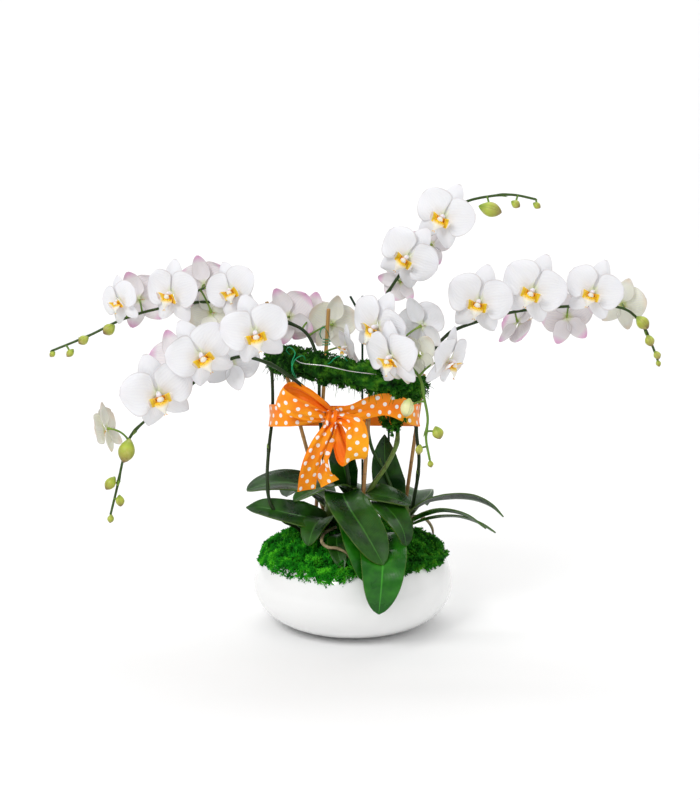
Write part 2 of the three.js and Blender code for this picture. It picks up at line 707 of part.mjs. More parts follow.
function bark() {
  const floor = BOWL.floor + CLEARANCE;
  const wall = wallProfile(floor, SOIL_LEVEL, -BOWL.wall - SOIL.packing);
  const profile = [new THREE.Vector2(0, floor), ...wall, new THREE.Vector2(0, SOIL_LEVEL)];
  return lathe(profile, BOWL.segments / 2).translate(0, 0, -ROOT_LEVEL);
}

// Assembly.

const root = new THREE.Group();
const bowlMesh = new THREE.Mesh(toGeometry(bowl(0)), new THREE.MeshStandardMaterial(COLOURS.porcelain));
bowlMesh.name = 'bowl';
planting.position.z = ROOT_LEVEL;
root.add(bowlMesh, planting);
placed.push(bowl(CLEARANCE).translate(0, 0, -ROOT_LEVEL));

for (const [name, row] of Object.entries(SPIKES)) {
  addPiece(name, 'stem', (grow) => spike(row, grow));
}
for (const [name, pole] of Object.entries(POLES)) {
  addPiece(name, 'bamboo', (grow) => cane(pole, grow));
}
for (const [name, points] of Object.entries(WIRES)) {
  addPiece(name, 'greenWire', (grow) => wire(points, grow));
}
for (const [plant, { crown: place }] of Object.entries(PLANTS)) {
  addPiece(`crown_${plant}`, 'crown', (grow) => crown(place, grow));
}
for (const { flowers } of Object.values(SPIKES)) {
  for (const flower of flowers) {
    addPiece(flower[0], 'petal', (grow) => flowerSolid(flower, grow));
  }
}
addPiece('ribbon_band', 'ribbon', ribbonBand);
addPiece('ribbon_bow', 'ribbon', bow);
for (const [name, tail] of Object.entries(BOW_TAILS)) {
  addPiece(name, 'ribbon', (grow) => ribbonStretch(tail, grow));
}
for (const [plant, { leaves }] of Object.entries(PLANTS)) {
  leaves.forEach((row, index) => addPiece(`leaf_${plant}_${index + 1}`, 'leaf', (grow) => leaf(row, grow)));
}
addPiece('moss_hoop', 'hoopMoss', mossHoop);
addPiece('moss_mat', 'moss', mossMat);
addPiece('bark_medium', 'bark', bark);

export default root;
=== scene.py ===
import json
import math

import bpy
import numpy as np
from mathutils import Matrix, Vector

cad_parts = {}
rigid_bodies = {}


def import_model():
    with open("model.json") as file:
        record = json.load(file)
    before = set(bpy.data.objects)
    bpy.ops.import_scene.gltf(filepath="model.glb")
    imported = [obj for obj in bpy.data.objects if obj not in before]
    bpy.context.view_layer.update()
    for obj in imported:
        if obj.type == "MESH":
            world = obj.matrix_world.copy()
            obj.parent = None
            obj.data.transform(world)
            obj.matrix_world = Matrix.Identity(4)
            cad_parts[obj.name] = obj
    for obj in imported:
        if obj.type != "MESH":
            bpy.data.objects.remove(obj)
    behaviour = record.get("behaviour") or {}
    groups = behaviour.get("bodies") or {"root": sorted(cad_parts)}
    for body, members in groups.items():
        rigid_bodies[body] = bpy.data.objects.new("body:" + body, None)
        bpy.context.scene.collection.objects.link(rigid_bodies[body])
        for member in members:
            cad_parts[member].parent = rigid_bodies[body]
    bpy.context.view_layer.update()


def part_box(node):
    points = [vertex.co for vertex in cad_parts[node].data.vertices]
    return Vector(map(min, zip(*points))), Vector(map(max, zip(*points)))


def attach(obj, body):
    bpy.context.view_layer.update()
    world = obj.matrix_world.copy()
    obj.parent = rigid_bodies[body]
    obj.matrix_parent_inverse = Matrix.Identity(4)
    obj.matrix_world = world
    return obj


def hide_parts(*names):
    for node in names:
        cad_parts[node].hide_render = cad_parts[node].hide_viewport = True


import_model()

# A round glazed bowl of moth orchids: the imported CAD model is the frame, and these pieces give it its looks.
# Lengths are metres. Routes and flower places are the part's own, in millimetres over the root level, except
# that bloom e5 is turned a little and enlarged.

MM = 0.001
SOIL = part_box("bark_medium")[1].z
ROOTS = SOIL - 0.016
FLOWER_SPAN = 0.095
STEM_RADIUS = 0.0024
BODY = "root"

# ---------------------------------------------------------------- tables shared with the part

# A flower row is its name, x, y, z, turn, nod, roll and size. A bud row is x, y, z, width and length. The
# blooms under "extra" are mostly hidden ones that the part leaves out.
SPIKES = {
    "spike_upper_left": {
        "route": [
            (-20, 16, -40), (-32, 20, 60), (-42, 26, 150), (-47, 28, 220), (-50, 28, 290), (-66, 40, 325),
            (-95, 46, 340), (-145, 44, 356), (-205, 38, 368), (-277, 30, 358), (-320, 25, 345),
            (-364, 20, 324), (-418, 18, 302),
        ],
        "flowers": [
            ("a1", -321, 8, 372, -35, 0, -18, 0.72),
            ("a2", -250, 12, 382, -28, 0, 3, 0.94),
            ("a4", -300, 62, 370, -175, 10, 20, 0.88),
            ("f1", -89, 64, 345, 170, -5, 25, 0.86),
            ("f3", -30, 66, 334, -160, 0, -10, 0.82),
        ],
        "extra": [
            ("f2", -58, 76, 338, 175, -8, -10, 0.8),
            ("f4", -10, -30, 314, -70, -15, 5, 0.62),
        ],
        "buds": [
            (-336, 12, 333, 16, 20), (-372, 14, 318, 13, 17), (-391, 14, 300, 10, 14), (-416, 16, 298, 8, 10),
        ],
    },
    "spike_left": {
        "route": [
            (-58, -2, -40), (-62, -6, 30), (-76, -26, 60), (-98, -42, 78), (-113, -48, 102),
            (-117, -44, 132), (-116, -22, 170), (-112, -2, 210), (-111, 0, 250), (-114, 0, 305),
            (-121, 4, 340), (-143, 12, 378), (-175, 20, 395), (-207, 24, 388), (-232, 26, 376),
        ],
        "flowers": [
            ("a3", -166, -4, 388, -20, 5, -23, 0.84),
            ("a5", -206, 46, 392, 165, 5, 10, 0.84),
        ],
        "extra": [("a6", -196, 34, 352, 175, -25, 170, 0.72)],
        "buds": [(-238, 34, 366, 10, 14)],
    },
    "spike_lower_left": {
        "route": [
            (-6, -32, -40), (-5, -32, 60), (-8, -40, 147), (-18, -50, 197), (-31, -61, 236),
            (-57, -86, 262), (-80, -104, 284), (-110, -110, 304), (-147, -104, 312), (-178, -98, 299),
            (-204, -94, 280), (-236, -90, 254), (-268, -88, 230), (-295, -86, 203), (-306, -84, 172),
            (-314, -84, 138), (-325, -84, 96),
        ],
        "flowers": [
            ("b1", -126, -122, 346, 5, -10, -15, 0.99),
            ("b2", -196, -120, 317, 10, -12, -32, 1.01),
            ("b3", -253, -116, 265, 15, -12, -18, 1.07),
            ("b4", -330, -84, 212, -105, -15, 10, 0.72),
        ],
        "extra": [
            ("b5", -233, -62, 300, 168, -5, 15, 0.86),
            ("b6", -161, -72, 300, 172, -10, -12, 0.84),
        ],
        "buds": [
            (-299, -98, 186, 22, 33), (-323, -90, 140, 14, 21), (-311, -90, 116, 12, 16),
            (-325, -85, 90, 9, 12),
        ],
    },
    "spike_upper_right": {
        "route": [
            (20, -27, -40), (16, -28, 60), (15, -28, 100), (30, -33, 128), (47, -38, 155), (60, -36, 186),
            (57, -23, 224), (48, -12, 259), (39, -4, 307), (37, 0, 356), (45, 0, 380), (80, 0, 432),
            (123, 0, 483), (148, -2, 506), (190, -2, 516), (216, -2, 517), (246, -2, 511),
        ],
        "flowers": [
            ("c1", 120, -26, 489, -20, 0, 26, 0.93),
            ("c2", 72, -26, 435, -20, -5, 38, 0.94),
        ],
        "extra": [
            ("c3", 108, 24, 449, 165, 5, 60, 0.62),
            ("c4", 66, 24, 398, 165, 5, 75, 0.62),
        ],
        "buds": [(184, -8, 498, 20, 32), (218, -8, 505, 11, 14), (247, -4, 503, 9, 12)],
    },
    "spike_right": {
        "route": [
            (84, 21, -40), (82, 20, 40), (84, 16, 80), (90, 12, 120), (92, 8, 152), (88, 3, 190),
            (87, 0, 240), (98, 2, 284), (117, 4, 314), (135, 2, 331), (166, 0, 344), (216, 0, 358),
            (289, 0, 366), (344, 0, 367), (372, 0, 362), (388, 0, 350), (401, 0, 332), (412, 0, 308),
            (419, 0, 290),
        ],
        "flowers": [
            ("d1", 169, -28, 376, -12, -5, 13, 0.99),
            ("d2", 241, -28, 391, -15, -5, 23, 1.0),
            ("d3", 322, -28, 389, -20, -5, 18, 0.88),
            ("d5", 298, 32, 348, 160, -5, 15, 0.84),
            ("d6", 374, 30, 366, 150, 0, -15, 0.76),
        ],
        "extra": [("d4", 231, 28, 340, 120, -30, 160, 0.74)],
        "buds": [
            (394, -8, 345, 17, 23), (405, -6, 320, 13, 17), (416, -6, 300, 10, 13), (419, -2, 288, 7, 10),
        ],
    },
    "spike_front": {
        "route": [
            (55, -8, -40), (57, -6, 40), (56, 4, 100), (43, 0, 137), (27, -6, 167), (20, -15, 204),
            (23, -31, 249), (31, -50, 293), (43, -70, 319), (57, -90, 318), (72, -104, 302),
            (87, -113, 284), (92, -114, 260), (97, -114, 232), (95, -114, 206), (100, -114, 178),
        ],
        "flowers": [
            ("e1", 48, -122, 314, -38, -12, -2, 0.93),
            ("e2", 30, -96, 350, -40, -5, 22, 0.98),
            ("e3", 92, -62, 348, 150, 5, 20, 0.8),
            ("e5", 126, -100, 306, 54, -18, 8, 0.88),
        ],
        "extra": [
            ("e4", 90, -84, 310, 140, -10, 40, 0.6),
            ("e6", 66, -96, 296, -150, -30, 20, 0.55),
        ],
        "buds": [
            (70, -122, 248, 18, 25), (110, -118, 214, 15, 18), (86, -120, 192, 10, 14),
            (101, -116, 172, 8, 10),
        ],
    },
}

# The route of a leaf's midrib, the leaf's width and its tilt in degrees.
LEAVES = {
    "leaf_left_1": (
        [(-32, 2, 92), (-62, 0, 112), (-94, -4, 120), (-125, -12, 118), (-147, -18, 112)],
        58, -16,
    ),
    "leaf_left_2": (
        [(-32, -8, 66), (-56, -40, 78), (-90, -50, 88), (-124, -42, 94), (-147, -30, 91)],
        54, -30,
    ),
    "leaf_left_3": ([(-30, -8, 62), (-42, -48, 80), (-54, -76, 72), (-60, -92, 54)], 42, 8),
    "leaf_left_4": ([(-30, 2, 84), (-56, 46, 104), (-80, 82, 98), (-98, 112, 72)], 56, 0),
    "leaf_middle_1": (
        [(-1, -12, 108), (-22, -34, 124), (-46, -56, 124), (-66, -68, 118), (-80, -76, 112)],
        44, 0,
    ),
    "leaf_middle_2": (
        [(-3, -14, 102), (-14, -50, 115), (-5, -82, 103), (13, -108, 81), (28, -130, 60), (39, -141, 42)],
        62, 0,
    ),
    "leaf_middle_3": ([(4, -10, 96), (20, -38, 112), (42, -56, 113), (62, -66, 110), (77, -72, 105)], 44, 14),
    "leaf_middle_4": ([(5, -12, 84), (32, -50, 104), (53, -80, 95), (66, -104, 78), (70, -114, 60)], 42, 8),
    "leaf_middle_5": ([(-2, -14, 70), (4, -70, 84), (10, -112, 66), (14, -137, 44), (14, -149, 22)], 54, -4),
    "leaf_middle_6": ([(4, -14, 44), (34, -80, 60), (39, -122, 52), (37, -153, 26), (33, -156, -20)], 66, 0),
    "leaf_middle_7": ([(-3, -5, 104), (-11, -20, 138), (-17, -30, 172), (-20, -38, 206)], 38, 0),
    "leaf_right_1": (
        [(76, 4, 72), (102, 8, 88), (134, 12, 93), (170, 13, 92), (194, 9, 83), (211, 4, 69)],
        36, -26,
    ),
    "leaf_right_2": ([(76, 0, 60), (102, -12, 76), (128, -16, 82), (158, -20, 76), (184, -26, 60)], 30, -22),
    "leaf_right_3": ([(66, 3, 76), (54, 6, 106), (46, 11, 137), (44, 16, 163), (44, 20, 184)], 48, 0),
    "leaf_right_4": ([(72, 8, 66), (90, 54, 92), (101, 88, 84), (110, 116, 58)], 48, 0),
}
SMALL_LEAVES = {
    "leaf_small_front": ([(-14, -40, 56), (-22, -78, 60), (-20, -100, 46), (-13, -116, 29)], 26, 6),
    "leaf_small_right": (
        [(76, 2, 56), (108, -2, 68), (146, -8, 72), (176, -14, 64), (198, -18, 52)],
        20, -20,
    ),
    "leaf_small_back": ([(0, 0, 80), (10, 40, 102), (16, 78, 96), (20, 108, 70)], 46, 0),
}

CANES = {
    "stake_bamboo_1": [(-12, 26, -42), (-120, 34, 369)],
    "stake_bamboo_2": [(-60, 48, -42), (-34, 36, 359)],
    "stake_bamboo_3": [(4, -40, -42), (24, -45, 268)],
    "stake_bamboo_4": [(58, 32, -42), (99, 30, 268)],
}
WIRES = {
    "stake_green_1": [
        (46, 20, -42), (48, 20, 60), (50, 18, 180), (44, 20, 262), (32, 20, 310), (-4, 20, 378),
    ],
    "stake_green_2": [(14, 27, -42), (13, 25, 200), (13, 25, 378)],
}


def above_roots(point):
    """A point of the part's tables, in metres in the row frame."""
    x, y, z = point
    return np.array((x * MM, y * MM, ROOTS + z * MM))


# ---------------------------------------------------------------- curves


def spline(points, per_span=14):
    """The centripetal Catmull-Rom curve that the part's stems and leaves follow."""
    p = np.array([above_roots(q) for q in points])
    p = np.vstack([2 * p[0] - p[1], p, 2 * p[-1] - p[-2]])
    out = []
    for i in range(1, len(p) - 2):
        a, b, c, d = p[i - 1 : i + 3]
        first, middle, last = (math.sqrt(np.linalg.norm(v)) for v in (b - a, c - b, d - c))
        leave = ((b - a) / first - (c - a) / (first + middle) + (c - b) / middle) * middle
        arrive = ((c - b) / middle - (d - b) / (middle + last) + (d - c) / last) * middle
        for t in np.linspace(0, 1, per_span, endpoint=False):
            h = (2 * t**3 - 3 * t**2 + 1, t**3 - 2 * t**2 + t, 3 * t**2 - 2 * t**3, t**3 - t**2)
            out.append(h[0] * b + h[1] * leave + h[2] * c + h[3] * arrive)
    out.append(p[-2])
    return np.array(out)


def resample(line, count):
    steps = np.linalg.norm(np.diff(line, axis=0), axis=1)
    along = np.concatenate([[0], np.cumsum(steps)])
    want = np.linspace(0, along[-1], count)
    return np.stack([np.interp(want, along, line[:, k]) for k in range(3)], axis=1)


def length_of(line):
    return float(np.linalg.norm(np.diff(line, axis=0), axis=1).sum())


def unit(v):
    return v / max(np.linalg.norm(v), 1e-9)


def tangents(line):
    t = np.gradient(line, axis=0)
    return t / np.maximum(np.linalg.norm(t, axis=1, keepdims=True), 1e-9)


def smoothstep(low, high, x):
    t = np.clip((x - low) / (high - low), 0, 1)
    return t * t * (3 - 2 * t)


# ---------------------------------------------------------------- meshes


def make_object(name, verts, faces, material, uvs=None):
    mesh = bpy.data.meshes.new(name)
    mesh.from_pydata([tuple(v) for v in verts], [], faces)
    if uvs is not None:
        layer = mesh.uv_layers.new(name="surface")
        loops = np.zeros(len(mesh.loops), int)
        mesh.loops.foreach_get("vertex_index", loops)
        layer.data.foreach_set("uv", np.asarray(uvs, np.float32)[loops].ravel())
    mesh.materials.append(material)
    mesh.shade_smooth()
    mesh.validate()
    obj = bpy.data.objects.new(name, mesh)
    bpy.context.scene.collection.objects.link(obj)
    return obj


def grid_faces(rows, cols, offset=0, flip=False):
    faces = []
    for i in range(rows - 1):
        for j in range(cols - 1):
            a = offset + i * cols + j
            quad = (a, a + 1, a + cols + 1, a + cols)
            faces.append(quad[::-1] if flip else quad)
    return faces


def ring_faces(rings, around):
    """Faces that join closed rings of points, and close both ends with a fan to one of two last points."""
    faces = []
    for i in range(rings - 1):
        for j in range(around):
            a, b = i * around + j, i * around + (j + 1) % around
            faces.append((a, b, b + around, a + around))
    first, last = rings * around, (rings - 1) * around
    for j in range(around):
        k = (j + 1) % around
        faces.append((first, k, j))
        faces.append((first + 1, last + j, last + k))
    return faces


def layers(*values):
    """A grid whose points have these values, each spread over rows and columns."""
    return np.stack(np.broadcast_arrays(*values), axis=2)


def blade(rows, cols):
    """Shares of a sheet's length (0 to 1) and of its width (-1 to 1), and its surface coordinates."""
    t = np.linspace(0, 1, rows)[:, None]
    s = np.linspace(-1, 1, cols)[None, :]
    return t, s, layers((s + 1) / 2, t)


RIM_ANGLE = math.radians(76)


class Shells:
    """Collects thin closed sheets and tubes that become one object."""

    def __init__(self):
        self.verts = []
        self.faces = []
        self.uvs = []
        self.count = 0
        self.crisp = False

    def add(self, verts, faces, uvs):
        self.verts.append(np.asarray(verts))
        self.uvs.append(np.asarray(uvs))
        self.faces.extend(tuple(i + self.count for i in face) for face in faces)
        self.count += len(verts)

    def sheet(self, grid, thickness, uv):
        """A thin sheet over a grid of points (rows, columns, 3), closed round its edge."""
        rows, cols, _ = grid.shape
        du = np.gradient(grid, axis=1)
        dv = np.gradient(grid, axis=0)
        normal = np.cross(du, dv)
        normal /= np.maximum(np.linalg.norm(normal, axis=2, keepdims=True), 1e-12)
        top = (grid + normal * thickness / 2).reshape(-1, 3)
        bottom = (grid - normal * thickness / 2).reshape(-1, 3)
        size = rows * cols
        faces = grid_faces(rows, cols) + grid_faces(rows, cols, size, True)
        edge = [i * cols for i in range(rows)][::-1]
        edge += list(range(1, cols))
        edge += [i * cols + cols - 1 for i in range(1, rows)]
        edge += [(rows - 1) * cols + j for j in range(cols - 2, 0, -1)]
        for a, b in zip(edge, edge[1:] + edge[:1]):
            faces.append((b, a, a + size, b + size))
        flat = uv.reshape(-1, 2)
        self.crisp = True
        self.add(np.vstack([top, bottom]), faces, np.vstack([flat, flat]))

    def tube(self, line, radii, sides, flatten=1.0):
        """A round bar along a line, with its own radius at each point and closed ends."""
        t = tangents(line)
        side = unit(np.cross(t[0], (0.31, 0.17, 0.93)))
        angles = np.linspace(0, 2 * math.pi, sides, endpoint=False)
        rings = []
        for point, tangent, radius in zip(line, t, radii):
            side = unit(side - tangent * side.dot(tangent))
            other = np.cross(tangent, side) * flatten
            rings.append(point + radius * (np.outer(np.cos(angles), side) + np.outer(np.sin(angles), other)))
        verts = np.vstack(rings + [line[:1], line[-1:]])
        along = np.repeat(np.linspace(0, 1, len(line)), sides)
        turn = np.tile(np.linspace(0, 1, sides), len(line))
        uv = np.vstack([np.stack([turn, along], axis=1), [[0.5, 0], [0.5, 1]]])
        self.add(verts, ring_faces(len(line), sides), uv)

    def build(self, name, material):
        obj = make_object(name, np.vstack(self.verts), self.faces, material, np.vstack(self.uvs))
        if self.crisp:
            obj.data.set_sharp_from_angle(angle=RIM_ANGLE)
        return obj


def lathe(profile, segments):
    """A closed solid turned about Z from (radius, height) points that start and end on the axis."""
    angles = np.linspace(0, 2 * math.pi, segments, endpoint=False)
    verts = [(r * math.cos(a), r * math.sin(a), z) for r, z in profile[1:-1] for a in angles]
    verts += [(0, 0, profile[0][1]), (0, 0, profile[-1][1])]
    return verts, ring_faces(len(profile) - 2, segments)


def place(obj, slot, *nodes):
    """Hands a piece over: the body it rides and the part's nodes that it replaces. Its slot is not used."""
    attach(obj, BODY)
    if nodes:
        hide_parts(*nodes)


# ---------------------------------------------------------------- materials


class Look:
    """A Principled material with short names for the nodes that it uses."""

    def __init__(self, name, roughness, **sockets):
        self.material = bpy.data.materials.new(name)
        self.material.use_nodes = True
        self.tree = self.material.node_tree
        self.shader = self.tree.nodes["Principled BSDF"]
        self.shader.inputs["Roughness"].default_value = roughness
        for socket, value in sockets.items():
            self.shader.inputs[socket.replace("_", " ")].default_value = value

    def node(self, kind, inputs=(), **settings):
        node = self.tree.nodes.new(kind)
        for key, value in settings.items():
            setattr(node, key, value)
        for socket, value in dict(inputs).items():
            if isinstance(value, bpy.types.NodeSocket):
                self.tree.links.new(value, node.inputs[socket])
            else:
                node.inputs[socket].default_value = value
        return node

    def math(self, operation, a, b=0.0):
        return self.node("ShaderNodeMath", {0: a, 1: b}, operation=operation).outputs[0]

    def objects(self):
        return self.node("ShaderNodeTexCoord").outputs["Object"]

    def uv(self):
        return self.node("ShaderNodeUVMap", uv_map="surface").outputs["UV"]

    def split(self, vector):
        return self.node("ShaderNodeSeparateXYZ", {"Vector": vector}).outputs

    def noise(self, vector, scale, detail=4.0, roughness=0.55):
        inputs = {"Vector": vector, "Scale": scale, "Detail": detail, "Roughness": roughness}
        return self.node("ShaderNodeTexNoise", inputs).outputs["Fac"]

    def stretched(self, vector, scale):
        return self.node("ShaderNodeMapping", {"Vector": vector, "Scale": scale}).outputs["Vector"]

    def band(self, value, low, high, to_low=0.0, to_high=1.0):
        inputs = {"Value": value, "From Min": low, "From Max": high, "To Min": to_low, "To Max": to_high}
        return self.node("ShaderNodeMapRange", inputs, interpolation_type="SMOOTHSTEP").outputs["Result"]

    def ramp(self, value, *stops):
        node = self.node("ShaderNodeValToRGB", {"Fac": value})
        elements = node.color_ramp.elements
        while len(elements) < len(stops):
            elements.new(0.5)
        for element, (position, color) in zip(elements, stops):
            element.position = position
            element.color = (*color, 1)
        return node.outputs["Color"]

    def mix(self, factor, a, b):
        node = self.node("ShaderNodeMix", data_type="RGBA")
        for socket, value in ((node.inputs["Factor"], factor), (node.inputs[6], a), (node.inputs[7], b)):
            if isinstance(value, bpy.types.NodeSocket):
                self.tree.links.new(value, socket)
            elif isinstance(value, tuple):
                socket.default_value = (*value, 1)
            else:
                socket.default_value = value
        return node.outputs[2]

    def color(self, socket):
        self.tree.links.new(socket, self.shader.inputs["Base Color"])

    def roughness(self, socket):
        self.tree.links.new(socket, self.shader.inputs["Roughness"])

    def bump(self, height, strength, distance):
        node = self.node("ShaderNodeBump", {"Height": height, "Strength": strength, "Distance": distance})
        self.tree.links.new(node.outputs["Normal"], self.shader.inputs["Normal"])

    def grain(self, scale, strength, distance):
        self.bump(self.noise(self.objects(), scale), strength, distance)


def glaze_look():
    look = Look("white_glaze", 0.16, Coat_Weight=0.6, Coat_Roughness=0.08, IOR=1.5)
    at = look.objects()
    cloud = look.noise(at, 14.0, 3.0)
    look.color(look.mix(cloud, (0.88, 0.885, 0.88), (0.93, 0.93, 0.925)))
    look.roughness(look.band(look.noise(at, 60.0), 0.3, 0.7, 0.12, 0.24))
    look.bump(look.noise(at, 9.0, 2.0), 0.12, 0.002)
    return look.material


def petal_look(name, base, tip, throat, veins=0.13):
    """Soft pale tissue with its own tints at the claw and the tip, fine veins along the blade, painted shade
    along its edges and soft patches of painted lavender shade.
    """
    look = Look(name, 0.5, Subsurface_Weight=0.12, Subsurface_Scale=0.003, Specular_IOR_Level=0.3)
    look.shader.inputs["Subsurface Radius"].default_value = (1.0, 0.8, 0.7)
    across, along = look.split(look.uv())[:2]
    body = look.ramp(along, (0.0, throat), (0.16, base), (0.72, base), (0.97, tip))
    fan = look.math("ADD", across, look.math("MULTIPLY", look.noise(look.uv(), 4.0), 0.11))
    stripes = look.math("SINE", look.math("MULTIPLY", fan, 85.0))
    vein = look.band(stripes, 0.45, 1.0, 0.0, veins)
    tint = look.mix(vein, body, (0.7, 0.66, 0.78))
    # Painted shade: a thin darker band along the blade's edges and at its tip.
    off_rib = look.math("ABSOLUTE", look.math("SUBTRACT", across, 0.5))
    sides, end = look.band(off_rib, 0.455, 0.5, 0.0, 0.5), look.band(along, 0.96, 1.0, 0.0, 0.5)
    margin = look.math("MAXIMUM", sides, end)
    tint = look.mix(margin, tint, (0.5, 0.44, 0.42))
    shadow = look.band(look.noise(look.objects(), 90.0), 0.45, 0.75, 0.0, 0.22)
    look.color(look.mix(shadow, tint, (0.84, 0.84, 0.93)))
    look.bump(look.math("ADD", stripes, look.noise(look.objects(), 420.0)), 0.18, 0.0005)
    return look.material


def lip_look():
    """Yellow to orange lip with dark red spots at its throat."""
    look = Look("lip_yellow", 0.42, Subsurface_Weight=0.1, Subsurface_Scale=0.002)
    along = look.split(look.uv())[1]
    body = look.ramp(along, (0.0, (0.8, 0.2, 0.01)), (0.2, (1.0, 0.45, 0.0)), (0.42, (1.0, 0.66, 0.01)),
                     (0.62, (0.88, 0.84, 0.74)))
    spots = look.node("ShaderNodeTexVoronoi", {"Vector": look.objects(), "Scale": 620.0}).outputs["Distance"]
    throat = look.band(along, 0.25, 0.6, 1.0, 0.0)
    spotted = look.math("MULTIPLY", look.band(spots, 0.34, 0.48, 1.0, 0.0), throat)
    look.color(look.mix(spotted, body, (0.32, 0.02, 0.02)))
    look.grain(500.0, 0.3, 0.0004)
    return look.material


def lobe_look():
    """White side lobes of the lip, yellow at the base with red bars."""
    look = Look("lip_side_lobe", 0.45, Subsurface_Weight=0.12, Subsurface_Scale=0.002)
    along = look.split(look.uv())[1]
    body = look.ramp(along, (0.0, (0.85, 0.26, 0.0)), (0.25, (1.0, 0.6, 0.0)), (0.5, (1.0, 0.72, 0.02)),
                     (0.62, (0.88, 0.86, 0.86)))
    bars = look.band(look.math("SINE", look.math("MULTIPLY", along, 46.0)), 0.5, 0.9)
    throat = look.band(along, 0.15, 0.4, 1.0, 0.0)
    look.color(look.mix(look.math("MULTIPLY", bars, throat), body, (0.45, 0.05, 0.04)))
    look.grain(500.0, 0.2, 0.0003)
    return look.material


def stem_look(name, low, high):
    """Smooth green stem, paler or darker towards its end, with fine brown flecks."""
    look = Look(name, 0.4, Coat_Weight=0.05, Specular_IOR_Level=0.22)
    along = look.split(look.uv())[1]
    body = look.ramp(along, (0.0, low), (0.55, low), (1.0, high))
    fleck = look.band(look.noise(look.stretched(look.objects(), (1, 1, 0.35)), 260.0), 0.52, 0.72, 0.0, 0.55)
    look.color(look.mix(fleck, body, (0.05, 0.03, 0.02)))
    look.bump(look.noise(look.stretched(look.objects(), (1, 1, 0.2)), 500.0), 0.2, 0.0004)
    return look.material


def bud_look(name, foot, belly, shoulder, tip):
    look = Look(name, 0.42, Subsurface_Weight=0.12, Subsurface_Scale=0.003)
    turn, along = look.split(look.uv())[:2]
    body = look.ramp(along, (0.0, foot), (0.4, belly), (0.78, shoulder), (1.0, tip))
    seam = look.math("ABSOLUTE", look.math("SINE", look.math("MULTIPLY", turn, 3 * math.pi)))
    blush = look.band(look.noise(look.objects(), 120.0), 0.45, 0.7, 0.0, 0.4)
    body = look.mix(blush, body, (0.62, 0.55, 0.2))
    # Painted shade: the bud is darkened along its three seams, where its sepals meet in creases.
    look.color(look.mix(look.band(seam, 0.0, 0.16, 0.7, 0.0), body, (0.2, 0.22, 0.04)))
    look.bump(seam, 0.5, 0.0006)
    return look.material


def leaf_look(name, dark, light, coat):
    """Waxy leaf: paler along the midrib and the margin, with fine lengthwise veins."""
    look = Look(name, 0.3, Coat_Weight=coat, Coat_Roughness=0.1, Specular_IOR_Level=0.22)
    across, along = look.split(look.uv())[:2]
    off_rib = look.math("ABSOLUTE", look.math("SUBTRACT", across, 0.5))
    patches = look.noise(look.stretched(look.objects(), (1, 1, 1.4)), 26.0, 5.0)
    body = look.mix(look.band(patches, 0.35, 0.7), dark, light)
    rib = look.band(off_rib, 0.0, 0.035, 0.75, 0.0)
    body = look.mix(rib, body, tuple(min(1, 1.9 * c + 0.02) for c in light))
    margin = look.band(off_rib, 0.47, 0.5, 0.0, 0.55)
    body = look.mix(margin, body, (0.09, 0.16, 0.02))
    base = look.band(along, 0.0, 0.16, 0.5, 0.0)
    look.color(look.mix(base, body, (0.2, 0.27, 0.07)))
    stripes = look.math("SINE", look.math("MULTIPLY", across, 190.0))
    fine = look.noise(look.objects(), 320.0, 3.0)
    look.roughness(look.band(patches, 0.3, 0.75, 0.24, 0.42))
    look.bump(look.math("ADD", look.math("MULTIPLY", stripes, 0.35), fine), 0.3, 0.0005)
    return look.material


def moss_look(name, bright, middle, deep, scale=70.0):
    """Tufted moss: brighter to the left, darker and duller to the right, mottled clump by clump in its own
    greens with painted shade and painted highlights.
    """
    look = Look(name, 0.85, Specular_IOR_Level=0.15)
    at = look.objects()
    sideways = look.band(look.split(at)[0], -0.06, 0.09)
    clump = look.noise(at, scale, 4.0, 0.6)
    # In both ramps the darkest stop is painted shade of the gaps between tufts and the lightest stop is a
    # painted highlight, laid in random patches.
    lively = look.ramp(clump, (0.3, deep), (0.5, middle), (0.7, bright))
    dull = look.ramp(clump, (0.32, (0.001, 0.02, 0.001)), (0.5, (0.015, 0.15, 0.004)),
                     (0.72, (0.14, 0.36, 0.02)))
    look.color(look.mix(look.math("MULTIPLY", sideways, 0.8), lively, dull))
    look.bump(look.noise(at, 900.0, 2.0), 0.5, 0.0006)
    return look.material


def bark_look():
    look = Look("bark_chips", 0.9)
    at = look.objects()
    cells = look.node("ShaderNodeTexVoronoi", {"Vector": at, "Scale": 95.0})
    shade = look.noise(at, 160.0)
    look.color(look.ramp(shade, (0.3, (0.05, 0.03, 0.018)), (0.6, (0.2, 0.11, 0.06)),
                         (0.8, (0.34, 0.2, 0.11))))
    look.bump(cells.outputs["Distance"], 0.9, 0.004)
    return look.material


def cane_look():
    """Split cane: honey coloured, darker at its nodes and streaked along its length."""
    look = Look("bamboo_cane", 0.42, Coat_Weight=0.2)
    at = look.objects()
    streak = look.noise(look.stretched(at, (1, 1, 0.06)), 420.0)
    body = look.ramp(streak, (0.3, (0.3, 0.14, 0.03)), (0.55, (0.56, 0.31, 0.08)), (0.8, (0.74, 0.48, 0.18)))
    height = look.split(at)[2]
    rings = look.band(look.math("PINGPONG", height, 0.037), 0.0, 0.0016, 0.7, 0.0)
    low_part, streaked = look.band(height, 0.16, 0.3, 0.45, 0.0), look.band(streak, 0.3, 0.7, 0.6, 1.0)
    stain = look.math("MULTIPLY", low_part, streaked)
    body = look.mix(stain, body, (0.25, 0.06, 0.03))
    look.color(look.mix(rings, body, (0.22, 0.11, 0.04)))
    look.bump(streak, 0.35, 0.0004)
    return look.material


def plastic_look(name, tint):
    look = Look(name, 0.45, Specular_IOR_Level=0.25)
    shade = look.noise(look.objects(), 240.0)
    look.color(look.mix(look.band(shade, 0.35, 0.7, 0.0, 0.6), tint, tuple(0.55 * c for c in tint)))
    look.grain(900.0, 0.2, 0.0002)
    return look.material


